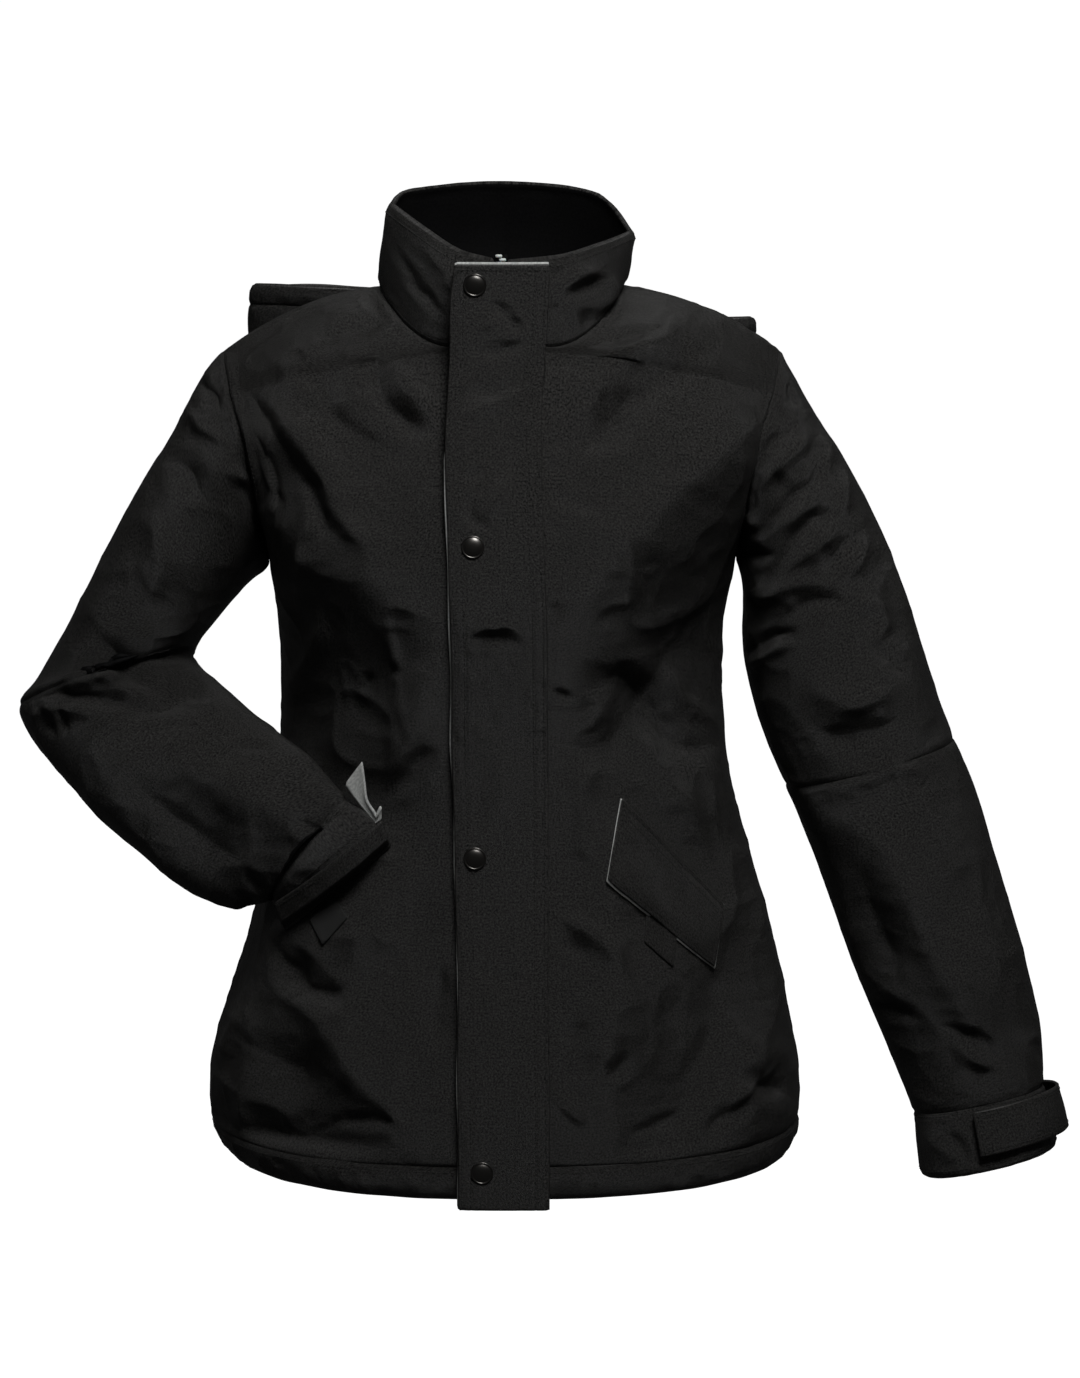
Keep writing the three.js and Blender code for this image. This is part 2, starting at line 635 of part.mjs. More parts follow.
// Hood: a pouch that hangs down the back, open at the top, its edge a casing
// drop from the top, half width, front y, back y
const hoodStations = [
  [0, 184, 76, 112],
  [40, 186, 90, 134],
  [80, 178, 106, 150],
  [120, 160, 114, 158],
  [170, 134, 117, 160],
  [215, 104, 118, 152],
  [250, 70, 118, 141],
  [270, 36, 119, 131],
];
const hoodCurve = through(hoodStations);
const hoodCasing = 15;
const hoodDrop = 270;
const hoodColumns = 32;
const hoodPower = 3.4;
const hoodTop = (x) => -26 - 12 * Math.sin(clamp(x / 170, -1, 1) * Math.PI / 2);
function hoodRow(drop) {
  const [half, front, back] = hoodCurve(drop);
  return steps(0, Math.PI * 2, hoodColumns).slice(0, -1).map((angle) => {
    const x = half * signedPower(Math.cos(angle), hoodPower);
    const y = (front + back) / 2 - signedPower(Math.sin(angle), hoodPower) * (back - front) / 2;
    return point(x, y, hoodTop(x) * (1 - drop / hoodDrop) - drop);
  });
}
const hoodEdge = steps(0, hoodCasing, 1).map(hoodRow);
const hoodBody = steps(hoodCasing, hoodDrop, 9).map(hoodRow);
hoodBody.push(hoodBody[hoodBody.length - 1].map(() => point(0, 125, -274)));

// Zip slider: hidden by the flap, closed at the top of the chain
const sliderSize = [9, 3.6, 13];
const sliderZ = 4;
const sliderY = -chainCurve(sliderZ)[0] - sliderSize[1] / 2 - snapGap;
const slider = new THREE.BoxGeometry(...sliderSize).translate(0, sliderY, sliderZ);

// A dome headed snap, its stem towards the cloth
const snapRadius = 8;
const snapHeight = 3.2;
const snapPlaces = [[-17, 11], [-19.5, -166], [-18.5, -388], [-14.5, -610]];
function snapGeometry(x, z) {
  const [, , depth] = flapCurve(z);
  const profile = [[0, 0], [1, 0], [1, 0.34], [0.9, 0.52], [0.6, 0.82], [0, 1]]
    .map(([r, h]) => new THREE.Vector2(r * snapRadius, h * snapHeight));
  const geometry = new THREE.LatheGeometry(profile, 20);
  geometry.rotateX(Math.PI);
  geometry.translate(x, -depth - flapWall - snapGap, z);
  return geometry;
}

const laid = [
  { name: "storm_flap", patches: [patch(stormFlap)], wall: flapWall },
  { name: "zip_chain", patches: [patch(zipChain)], wall: chainWall, colour: "teeth" },
  { name: "pocket_flap_left", patches: [patch(pocketFlap, true)], wall: pocketWall },
  { name: "pocket_welt_right", patches: [patch(welt)], wall: weltWall },
  { name: "pocket_hook_patch_right", patches: [patch(hookPatch)], wall: patchWall },
  { name: "pocket_flap_right", patches: [patch(turnedCorner, true)], wall: pocketWall, colour: "lining" },
  { name: "cuff_tab_left", patches: [patch(cuffTab, true)], wall: tabWall },
];
const [hoodEdgeInner, hoodEdgeOuter] = twoPanels(hoodEdge, hoodColumns / 2);
const [hoodInner, hoodOuter] = twoPanels(hoodBody, hoodColumns / 2);
shell.push(
  piece("hood_edge", "hood", hoodWall, patch(hoodEdgeOuter)),
  piece("hood_edge_inner", "hood", hoodWall, patch(hoodEdgeInner)),
  piece("hood", "hood", hoodWall, patch(hoodOuter)),
  piece("hood_inner", "hood", hoodWall, patch(hoodInner)),
);

const colours = { cloth: 0x1b1b1c, lining: 0x8d9092, metal: 0x77797c, teeth: 0xd9d6cc };
const material = (name) => new THREE.MeshStandardMaterial({ name, color: colours[name], roughness: 0.7 });

const garment = new THREE.Group();
garment.name = "parka";
function add(name, geometry, colour) {
  const mesh = new THREE.Mesh(geometry, material(colour));
  mesh.name = name;
  garment.add(mesh);
}
const far = directions(shell.flatMap(({ patches }) => patches));
shell.forEach(({ name, part, patches, wall }) => {
  const sewnTogether = shell.filter((other) => other.part === part);
  const near = directions(sewnTogether.flatMap((other) => other.patches));
  add(name, geometryOf(clothSolid(patches, wall, near, far)), "cloth");
});
laid.forEach(({ name, patches, wall, colour = "cloth" }) => (
  add(name, geometryOf(clothSolid(patches, wall)), colour)
));
add("zip_slider", slider, "metal");
snapPlaces.forEach(([x, z], i) => add(`snap_${i + 1}`, snapGeometry(x, z), "metal"));

export default garment;
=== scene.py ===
# %% [markdown]
# # A black shell parka
# A hip length jacket of a coated weave over a thin wadding. It hangs in the form it has when
# it is worn: one sleeve straight, the other bent with its cuff in the hand pocket.
# The first cell loads the solid model. All other pieces are made around it, in its own place.

# %% Load the solid model
import math

import bpy
import numpy as np
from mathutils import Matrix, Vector
from mathutils.bvhtree import BVHTree


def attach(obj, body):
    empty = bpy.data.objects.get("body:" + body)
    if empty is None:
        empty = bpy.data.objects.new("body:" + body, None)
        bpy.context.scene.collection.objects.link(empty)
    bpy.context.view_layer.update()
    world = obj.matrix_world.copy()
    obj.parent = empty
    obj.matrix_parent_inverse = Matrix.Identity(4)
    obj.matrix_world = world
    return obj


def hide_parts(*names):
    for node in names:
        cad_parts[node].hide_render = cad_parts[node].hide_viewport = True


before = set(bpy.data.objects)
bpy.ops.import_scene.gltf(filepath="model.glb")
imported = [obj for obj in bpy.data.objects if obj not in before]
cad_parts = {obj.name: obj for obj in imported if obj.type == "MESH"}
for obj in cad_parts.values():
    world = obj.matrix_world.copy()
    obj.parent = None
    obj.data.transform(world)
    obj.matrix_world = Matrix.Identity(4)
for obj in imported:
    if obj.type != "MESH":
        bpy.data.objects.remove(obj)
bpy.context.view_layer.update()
MM = 0.001
print("solid model:", len(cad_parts), "nodes")

# %% [markdown]
# The camera comes first, because the folds are placed where it sees them. It looks slightly
# down at the front from a long way off, with a long lens, so near and far stay alike in size.
# One picture unit is one dot of a picture 1080 wide and 1378 high.

# %% Camera
PICTURE = (1080, 1378)
AIM = np.array([27.0, 0.0, -294.0])
DISTANCE = 3500
ELEVATION = math.radians(12)
MM_A_DOT = 0.72
SENSOR = 36
BACKWARD = np.array([0, -math.cos(ELEVATION), math.sin(ELEVATION)])
UPWARD = np.array([0, math.sin(ELEVATION), math.cos(ELEVATION)])
EYE = AIM + BACKWARD * DISTANCE
DOTS_OFF = DISTANCE / MM_A_DOT


def in_picture(points):
    """Where points, in millimetres, are seen: dots from the picture's left and top edges."""
    away = np.asarray(points, float) - EYE
    depth = -(away @ BACKWARD)
    across = PICTURE[0] / 2 + DOTS_OFF * away[..., 0] / depth
    down = PICTURE[1] / 2 - DOTS_OFF * (away @ UPWARD) / depth
    return np.stack([across, down], -1)


camera = bpy.data.objects.new("camera", bpy.data.cameras.new("camera"))
bpy.context.scene.collection.objects.link(camera)
camera.data.sensor_width = SENSOR
camera.data.lens = SENSOR * DOTS_OFF / PICTURE[1]
camera.location = Vector(EYE * MM)
camera.rotation_euler = Vector(BACKWARD).to_track_quat("Z", "Y").to_euler()
camera.data.clip_end = 100
bpy.context.scene.camera = camera
print("lens", round(camera.data.lens, 1), "mm")

# %% [markdown]
# Small tools for shapes. A cloth piece is kept as a net of points in rows and columns. Its
# size comes from a few stations, and a smooth curve runs through them.


# %% Curves
def mix(a, b, k):
    return a + (b - a) * k


def ease(k):
    k = np.clip(k, 0, 1)
    return k * k * (3 - 2 * k)


def signed_power(value, power):
    return np.sign(value) * np.abs(value) ** (2 / power)


def unit(vectors):
    size = np.linalg.norm(vectors, axis=-1, keepdims=True)
    return vectors / np.maximum(size, 1e-9)


def through(stations):
    """A smooth curve through rows of place, value, value, ... in rising order of place."""
    table = np.array(stations, float)
    places, values = table[:, 0], table[:, 1:]
    order = np.arange(len(places))
    before, after = np.maximum(order - 1, 0), np.minimum(order + 1, order[-1])
    slopes = (values[after] - values[before]) / (places[after] - places[before])[:, None]

    def at(place):
        x = np.clip(np.asarray(place, float), places[0], places[-1])
        i = np.clip(np.searchsorted(places, x, side="right") - 1, 0, order[-1] - 1)
        span = (places[i + 1] - places[i])[..., None]
        k = (x - places[i])[..., None] / span
        start, end = values[i], values[i + 1]
        leave, arrive = slopes[i] * span, slopes[i + 1] * span
        turn = 2 * start - 2 * end + leave + arrive
        return start + k * (leave + k * (3 * (end - start) - 2 * leave - arrive + k * turn))

    return at


def smooth_line(path, parts=6):
    """A short list of places made into a smooth line."""
    places = np.array(path, float)
    steps = np.arange(len(places))
    curve = through(np.column_stack([steps, places]))
    return curve(np.linspace(0, steps[-1], parts * steps[-1] + 1))


# %% [markdown]
# Folds. Padded cloth buckles into soft ridges with sharper valleys between them. Each fold is
# a row of a table: height in millimetres (a valley is negative), reach to each side, and the
# places that it runs through. It fades out at both ends, and a valley pushes up low banks.


# %% Fold tools
BANK, BANK_PLACE, BANK_WIDTH = 0.2, 2.1, 0.8
GAIN = 2
WIDER = 1.2
STEEPEST = 0.62
FADE_SHARE = 0.4
WANDERS = ((26, 3.2), (11, 1.5))


def soft_noise(points, size, seed):
    """Smooth random heights from -1 to 1 in space, with a hump about every size."""
    table = np.random.default_rng(seed).uniform(-1, 1, (32, 32, 32))
    scaled = points / size
    cell = np.floor(scaled).astype(int)
    part = scaled - cell
    part = part**3 * (part * (part * 6 - 15) + 10)
    total = 0
    for corner in np.ndindex(2, 2, 2):
        weight = np.prod(np.where(corner, part, 1 - part), axis=-1)
        x, y, z = np.moveaxis((cell + corner) % 32, -1, 0)
        total = total + weight * table[x, y, z]
    return total


def wandering(flat):
    """Places moved a little aside at random, so that no fold runs in an even curve."""
    deep = np.column_stack([flat, np.zeros(len(flat))])
    for size, amount in WANDERS:
        aside = np.stack([soft_noise(deep, size, 80 + i) for i in (1, 2)], -1)
        flat = flat + amount * aside
    return flat


def fold_height(places, folds):
    """Height of the cloth at places (the last axis holds two numbers) from rows of folds."""
    flat = wandering(places.reshape(-1, 2))
    total = np.zeros(len(flat))
    for height, narrow, *path in folds:
        reach = narrow * WIDER
        held = reach * STEEPEST * np.tanh(GAIN * abs(height) / (reach * STEEPEST))
        line = smooth_line(path)
        wide = 3.4 * reach
        near = np.all((flat > line.min(0) - wide) & (flat < line.max(0) + wide), axis=1)
        if not near.any():
            continue
        start, step = line[:-1], np.diff(line, axis=0)
        gap = flat[near][:, None] - start
        k = np.clip((gap * step).sum(2) / (step**2).sum(1), 0, 1)
        off = np.linalg.norm(gap - k[..., None] * step, axis=2)
        nearest = off.argmin(1)
        each = np.arange(len(nearest))
        along = (nearest + k[each, nearest]) / len(step)
        fade = ease(along / FADE_SHARE) * ease((1 - along) / FADE_SHARE)
        q = off[each, nearest] / (reach * (0.5 + 0.5 * fade))
        if height > 0:
            shape = np.exp(-(q**1.6))
        else:
            shape = np.exp(-(q**1.3)) - BANK * np.exp(-(((q - BANK_PLACE) / BANK_WIDTH) ** 2))
        total[near] += math.copysign(held, height) * shape * fade
    return total.reshape(places.shape[:-1])


def crumple(points, size, seed):
    """Sharp small ridges with soft ground between them, as in cloth that was crushed."""
    bent = points + size * 0.5 * np.stack(
        [soft_noise(points, size * 1.7, seed + i) for i in (1, 2, 3)], -1
    )
    return 1 - 2 * np.sqrt(np.abs(soft_noise(bent, size, seed)) + 0.02)


print("fold test:", fold_height(np.array([[0.0, 0.0]]), [(5, 4, (-9, 0), (0, 0), (9, 0))]))

# %% [markdown]
# The body. Its outline is read off at a row of heights: half widths to both sides and depths
# to the front and back, with rounded corners. Above the armpits each row runs from the armhole
# to the middle or the neckline. These are the same sizes as the solid model's.

# %% Body sizes
HEM_TOP, HEM_BOTTOM = -609, -634
ARMPIT, NECK_ROW = -197, -66
ROUNDNESS = 2.3
ZIP_SLOT, FLAP_HALF = 6, 34
SIDES, FACES = {"left": 1, "right": -1}, {"front": -1, "back": 1}
body_size = through(
    [  # z, right, left, front, back
        (-634, 198, 208, 139, 134),
        (-609, 213, 216, 142, 138),
        (-580, 215, 217, 141, 136),
        (-554, 210.6, 213, 139, 133),
        (-526, 202, 207.5, 135, 129),
        (-496, 191.6, 201, 130, 123),
        (-460, 182, 191.5, 124, 115),
        (-425, 174, 181, 119, 108),
        (-391, 167, 172, 116, 101),
        (-340, 162, 161, 115, 94),
        (-312, 160, 159, 117, 95),
        (-288, 160, 157.5, 120, 97),
        (-258, 160, 157.5, 126, 102),
        (-235, 162, 159, 130, 106),
        (ARMPIT, 166, 166, 133, 112),
    ]
)
SHOULDER_END = (0, 197, -10, -46, 142, -12, -4, 87, -12, 0)
FRONT_ROWS = [  # row, x y z at the armhole, at the corner, at the middle or neckline
    (-152, 171, -46, -155, 176, -122, -150, 0, -125, -146),
    (-105, 180, -60, -105, 186, -106, -98, 0, -111, -92),
    (NECK_ROW, 191, -42, -76, 170, -84, -60, 0, -92, -36),
    (-44, 194, -32, -64, 150, -76, -44, 42, -86, -33),
    (-28, 196, -24, -56, 140, -60, -32, 64, -71, -23),
    (-12, 197, -16, -50, 140, -36, -20, 80, -43, -8),
    SHOULDER_END,
]
BACK_ROWS = [
    (-152, 170, 44, -155, 174, 108, -150, 0, 108, -146),
    (-105, 178, 58, -105, 180, 102, -98, 0, 100, -92),
    (NECK_ROW, 190, 40, -76, 165, 84, -56, 0, 72, -22),
    (-44, 193, 26, -64, 150, 66, -40, 38, 62, -16),
    (-28, 195, 12, -56, 142, 46, -28, 60, 42, -9),
    (-12, 196.5, 0, -50, 140, 18, -14, 78, 14, -3),
    SHOULDER_END,
]


def body_row_ends(side, face, rows):
    """Armhole end, corner and inner end of each row of a quarter of the body."""

    def lower(z):
        right, left, front, back = np.moveaxis(body_size(z), -1, 0)
        width = right if side < 0 else left
        depth = -front if face < 0 else back
        zero = np.zeros_like(width)
        return np.stack([width, zero, z, width, depth, z, zero, depth, z], -1)

    joining = np.array([-235.0, ARMPIT])
    upper = through([*np.column_stack([joining, lower(joining)]), *(FRONT_ROWS if face < 0 else BACK_ROWS)])
    return np.where((rows <= ARMPIT)[:, None], lower(rows), upper(rows))


COLUMNS = 88
BODY_ROWS = np.concatenate(
    [
        np.linspace(HEM_TOP, ARMPIT, 166),
        np.linspace(ARMPIT, NECK_ROW, 53)[1:],
        np.linspace(NECK_ROW, 0, 27)[1:],
    ]
)
FIRST_ARMHOLE = 165
FIRST_NECK = 165 + 52
TURNS = np.linspace(0, math.pi / 2, COLUMNS + 1)
FROM_SIDE = 1 - np.sin(TURNS) ** (2 / ROUNDNESS)
FROM_MIDDLE = 1 - np.clip(np.cos(TURNS), 0, 1) ** (2 / ROUNDNESS)
print("body net:", len(BODY_ROWS), "rows,", COLUMNS + 1, "columns a quarter")

# %% [markdown]
# The hand pocket of the bent arm holds a cuff, so the front is pressed in above the pocket's
# mouth and pushed out below it.

# %% Body quarters
MOUTH_TOP, MOUTH_FOOT = np.array([-84, -368]), np.array([-158, -434])
MOUTH_PRESS, MOUTH_PUSH, MOUTH_REACH = 8, 9, 34


def pocket_relief(x, z):
    way = MOUTH_FOOT - MOUTH_TOP
    length = np.linalg.norm(way)
    along = ((x - MOUTH_TOP[0]) * way[0] + (z - MOUTH_TOP[1]) * way[1]) / length
    below = -((x - MOUTH_TOP[0]) * way[1] - (z - MOUTH_TOP[1]) * way[0]) / length
    within = np.exp(-(((along - length / 2) / (length * 0.62)) ** 4))
    press = MOUTH_PRESS * np.exp(-(((below + MOUTH_REACH) / MOUTH_REACH) ** 2))
    push = MOUTH_PUSH * np.exp(-(((below - MOUTH_REACH) / MOUTH_REACH) ** 2))
    return within * (push - press)


def quarter(side, face):
    ends = body_row_ends(side, face, BODY_ROWS)
    outer, corner, inner = ends[:, None, 0:3], ends[:, None, 3:6], ends[:, None, 6:9].copy()
    inner[..., 0] = np.maximum(inner[..., 0], ZIP_SLOT if face < 0 else 0)
    net = corner + (outer - corner) * FROM_SIDE[:, None] + (inner - corner) * FROM_MIDDLE[:, None]
    net[..., 0] *= side
    if face < 0:
        inside = np.clip(np.sin(TURNS * 2), 0, 1) ** 0.7
        open_rows = (ease((BODY_ROWS - HEM_TOP) / 40) * ease(-BODY_ROWS / 40))[:, None]
        net[..., 1] -= pocket_relief(net[..., 0], net[..., 2]) * inside * open_rows
    return net


quarters = {(s, f): quarter(SIDES[s], FACES[f]) for s in SIDES for f in FACES}
skins = {
    "front_left": quarters["left", "front"][:, ::-1],
    "front_right": quarters["right", "front"],
    "back": np.concatenate([quarters["left", "back"], quarters["right", "back"][:, -2::-1]], axis=1),
}
print("front:", skins["front_left"].shape)

# %% [markdown]
# The hem casing is a doubled strip below the body, with a drawcord in it. The real one is
# folded under, so its lower edge is round.

# %% Hem casing
CASING_ROWS = np.linspace(HEM_TOP, HEM_BOTTOM, 11)


def casing_quarter(side, face):
    right, left, front, back = np.moveaxis(body_size(CASING_ROWS), -1, 0)
    width, depth = (right if side < 0 else left), (-front if face < 0 else back)
    share = (HEM_TOP - CASING_ROWS) / (HEM_TOP - HEM_BOTTOM)
    swell = 2.0 * np.sin(math.pi * share)
    across, deep = 1 - FROM_MIDDLE, 1 - FROM_SIDE
    middle = ZIP_SLOT if face < 0 else 0
    x = width[:, None] - (width - middle)[:, None] * FROM_MIDDLE + swell[:, None] * across
    y = (depth + np.sign(depth) * swell)[:, None] * deep
    z = np.broadcast_to(CASING_ROWS[:, None], x.shape)
    return np.stack([side * x, y, z], -1)


casing_parts = [
    casing_quarter(-1, -1)[:, ::-1],
    casing_quarter(-1, 1)[:, 1:],
    casing_quarter(1, 1)[:, -2::-1],
    casing_quarter(1, -1)[:, 1:],
]
skins["hem_casing"] = np.concatenate(casing_parts, axis=1)
print("hem:", skins["hem_casing"].shape)

# %% [markdown]
# The collar stands on the neckline. Its top edge is a curve of its own, higher at the back
# and wider to the wearer's left, because the neck of the jacket leans that way.

# %% Collar
collar_top = through(
    [  # share of the way round, x, y, z of the top edge
        (0, -6, -98, 27),
        (0.08, -30, -92, 33),
        (0.17, -54, -68, 45),
        (0.25, -76, -32, 56),
        (0.33, -80, 6, 56),
        (0.41, -66, 44, 61),
        (0.5, 0, 67, 64),
        (0.59, 68, 48, 58),
        (0.67, 93, 4, 37),
        (0.75, 90, -30, 37),
        (0.83, 70, -64, 34),
        (0.92, 42, -90, 29),
        (1, 6, -98, 26),
    ]
)
COLLAR_SWELL = 3


def shares(points):
    lengths = np.concatenate([[0], np.cumsum(np.linalg.norm(np.diff(points, axis=0), axis=1))])
    return lengths / lengths[-1]


neckline = np.concatenate(
    [
        quarters["right", "front"][FIRST_NECK:, -1],
        quarters["right", "back"][FIRST_NECK:-1, -1][::-1],
        quarters["left", "back"][FIRST_NECK + 1 :, -1],
        quarters["left", "front"][FIRST_NECK:-1, -1][::-1],
    ]
)
collar_edge = collar_top(shares(neckline))
rise = np.linspace(0, 1, 31)[:, None, None]
collar = mix(neckline, collar_edge, rise)
collar += COLLAR_SWELL * np.sin(math.pi * rise) * unit(collar * np.array([1, 1, 0]))
skins["collar"] = collar
print("collar:", collar.shape)

# %% [markdown]
# Sleeves. Each is carried out from its armhole as a row of rings. A ring is given by its
# outer and its inner point and by half its depth; bow curves a flat cuff round the body.

# %% Sleeve sizes
HANGING_RINGS = [  # place, outer x y z, inner x y z, half depth, bow
    (0, 200, -4, -47, 166, 0, -197, 62, 0),
    (1, 208, -3, -64, 170, 0, -208, 66, 0),
    (2, 226, -2, -97, 172, 0, -220, 67, 0),
    (3, 250, -2, -136, 172.5, -1, -234, 66, 0),
    (4, 271, -3, -176, 172, -2, -252, 65, 0),
    (5, 288, -4, -220, 174, -4, -275, 64, 0),
    (6, 302, -6, -260, 181, -6, -304, 63, 0),
    (7, 313, -8, -296, 192, -8, -333, 61, 0),
    (8, 325, -10, -328, 204, -11, -361, 59, 0),
    (9, 341, -14, -367, 218, -15, -396, 60, 0),
    (10, 355, -18, -408, 232, -19, -432, 57, 0),
    (11, 367, -22, -447, 245, -23, -468, 54, 0),
    (12, 378, -26, -488, 258, -27, -504, 52, 0),
    (13, 388, -30, -528, 274, -31, -541, 49, 0),
    (14, 391, -34, -556, 287, -35, -572, 47, 0),
    (15, 392, -37, -578, 297, -38, -599, 44, 0),
    (16, 398, -40, -600, 300, -41, -621, 45.5, 0),
    (17, 402, -42, -621, 303, -44, -644, 44, 0),
]
BENT_RINGS = [
    (0, -197, -4, -44, -166, 0, -197, 62, 0),
    (1, -210, -2, -62, -170, 2, -206, 63, 0),
    (2, -229, 0, -97, -178, 4, -213, 60, 0),
    (3, -254, 3, -139, -188, 6, -223, 57, 0),
    (4, -282, 6, -190, -199, 8, -236, 55, 0),
    (5, -309, 8, -241, -209, 8, -249, 54, 0),
    (6, -333, 8, -283, -217, 6, -260, 53, 0),
    (7, -348, 6, -308, -221, 2, -269, 52, 0),
    (8, -338, 0, -333, -216, -6, -276, 50, 0),
    (9, -316, -14, -356, -205, -16, -283, 47, 0),
    (10, -288, -32, -381, -191, -32, -292, 42, 0),
    (11, -254, -46, -407, -176, -50, -301, 37, 0),
    (12, -222, -54, -427, -158, -70, -311, 30, 2),
    (13, -190, -64, -438, -134, -88, -326, 22, 5),
    (14, -164, -69, -433, -110, -98, -353, 14, 8),
    (15, -161, -72, -435, -98, -106, -360, 11.5, 9),
    (16, -157, -74, -438, -85, -113, -371, 9, 9),
]
RINGS = {"left": HANGING_RINGS, "right": BENT_RINGS}
ELBOW, WRIST, CUFF_END = {"left": 8, "right": 7}, {"left": 15, "right": 14}, {"left": 17, "right": 16}
RING_POWER, AXIS_STEP, SETTLED = 2.15, 0.2, 3.2


# %% Sleeve nets
def armhole(side):
    up = quarters[side, "front"][FIRST_ARMHOLE:, 0]
    down = quarters[side, "back"][FIRST_ARMHOLE:, 0][::-1]
    turns = [math.pi * (1 - shares(up)), -math.pi * shares(down)[1:-1]]
    return np.concatenate([up, down[1:-1]]), np.concatenate(turns)


def rings_at(side, places, turns):
    """Rings of a sleeve at places along it, and their middles."""
    curve = through(RINGS[side])
    outer, inner = curve(places)[:, 0:3], curve(places)[:, 3:6]
    depth, bow = curve(places)[:, 6], curve(places)[:, 7]
    ahead, behind = curve(places + AXIS_STEP), curve(places - AXIS_STEP)
    axis = (ahead[:, 0:3] + ahead[:, 3:6] - behind[:, 0:3] - behind[:, 3:6]) / 2
    reach = (outer - inner) / 2
    deep = unit(np.cross(axis, reach))
    deep *= -np.sign(deep[:, 1:2])
    across, forward = signed_power(np.cos(turns), RING_POWER), signed_power(np.sin(turns), RING_POWER)
    off = forward * depth[:, None] + bow[:, None] * (1 - across**2)
    middle = (outer + inner)[:, None] / 2
    return middle + reach[:, None] * across[:, None] + deep[:, None] * off[..., None], middle


def sleeve(side, places):
    held, turns = armhole(side)
    net, middle = rings_at(side, places, turns)
    settle = 1 - ease(places / SETTLED)[:, None, None]
    return net + (held - rings_at(side, places[:1], turns)[0][0]) * settle


def sleeve_places(side):
    """Places of the rows, with the elbow and wrist seams on rows of their own."""
    upper = np.linspace(0, ELBOW[side], 125 if side == "left" else 115)
    lower = np.linspace(ELBOW[side], WRIST[side], 115 if side == "left" else 105)[1:]
    return np.concatenate([upper, lower, np.linspace(WRIST[side], CUFF_END[side], 21)[1:]])


PLACES = {side: sleeve_places(side) for side in SIDES}
SPLITS = {
    side: [int(np.searchsorted(PLACES[side], stop)) for stop in (ELBOW[side], WRIST[side])]
    for side in SIDES
}
for side in SIDES:
    whole = sleeve(side, PLACES[side])
    elbow_row, wrist_row = SPLITS[side]
    skins[f"sleeve_{side}_upper"] = whole[: elbow_row + 1]
    skins[f"sleeve_{side}_lower"] = whole[elbow_row : wrist_row + 1]
    skins[f"cuff_{side}"] = whole[wrist_row:]
    print(side, "sleeve:", whole.shape)

# %% [markdown]
# The hood hangs down the back as a pouch, open at the top, with a casing round its edge.

# %% Hood
HOOD_DROP, HOOD_CASING, HOOD_POWER = 270, 15, 3.4
hood_size = through(
    [  # drop from the top, half width, front y, back y
        (0, 184, 76, 112),
        (40, 186, 90, 134),
        (80, 178, 106, 150),
        (120, 160, 114, 158),
        (170, 134, 117, 160),
        (215, 104, 118, 152),
        (250, 70, 118, 141),
        (270, 36, 119, 131),
    ]
)


def hood_net(drops, columns=180):
    half, front, back = np.moveaxis(hood_size(drops)[:, None], -1, 0)
    turn = np.linspace(0, 2 * math.pi, columns, endpoint=False)
    x = half * signed_power(np.cos(turn), HOOD_POWER)
    y = (front + back) / 2 - signed_power(np.sin(turn), HOOD_POWER) * (back - front) / 2
    top = -26 - 12 * np.sin(np.clip(x / 170, -1, 1) * math.pi / 2)
    return np.stack([x, y, top * (1 - drops[:, None] / HOOD_DROP) - drops[:, None]], -1)


skins["hood_edge"] = hood_net(np.linspace(0, HOOD_CASING, 8))
skins["hood"] = hood_net(np.linspace(HOOD_CASING, HOOD_DROP, 90))
print("hood:", skins["hood"].shape)

# %% [markdown]
# Directions. Every point of a net gets the direction that leads out of the cloth. Pieces that
# are sewn together share it along their seam, so that their edges stay side by side.

# %% Outward directions
AROUND = {name for name in skins if name.startswith(("sleeve", "cuff", "hood"))}


def slopes_of(net, around):
    down = np.gradient(net, axis=0)
    if around:
        across = (np.roll(net, -1, axis=1) - np.roll(net, 1, axis=1)) / 2
    else:
        across = np.gradient(net, axis=1)
    return down, across


def outward(net, around, middle=None):
    """Unit directions square to the net, on the side away from its middle."""
    down, across = slopes_of(net, around)
    square = unit(np.cross(across, down))
    if middle is None:
        middle = net.mean(axis=1, keepdims=True) if around else net.mean((0, 1)) * np.array([0, 0, 1])
    away = np.sign(np.sum(square * (net - middle)))
    return square * away


def border_distance(net, around):
    """Millimetres from each point to the nearest edge of its piece, row ends and column ends."""
    down = np.linalg.norm(np.diff(net, axis=0), axis=2)
    from_top = np.concatenate([np.zeros((1, net.shape[1])), np.cumsum(down, axis=0)])
    rows = np.minimum(from_top, from_top[-1] - from_top)
    if around:
        return rows
    across = np.linalg.norm(np.diff(net, axis=1), axis=2)
    from_left = np.concatenate([np.zeros((len(net), 1)), np.cumsum(across, axis=1)], axis=1)
    return np.minimum(rows, np.minimum(from_left, from_left[:, -1:] - from_left))


own = {name: outward(net, name in AROUND) for name, net in skins.items()}
edge = {name: border_distance(net, name in AROUND) for name, net in skins.items()}
sewn = [name for name in skins if not name.startswith("hood")]


def share_directions(names):
    points = np.concatenate([skins[n].reshape(-1, 3) for n in names])
    square = np.concatenate([own[n].reshape(-1, 3) for n in names])
    _, which = np.unique(np.round(points * 20).astype(int), axis=0, return_inverse=True)
    total = np.zeros((which.max() + 1, 3))
    np.add.at(total, which.ravel(), square)
    shared = unit(total)[which.ravel()]
    made, start = {}, 0
    for n in names:
        count = skins[n].size // 3
        made[n] = shared[start : start + count].reshape(skins[n].shape)
        start += count
    return made


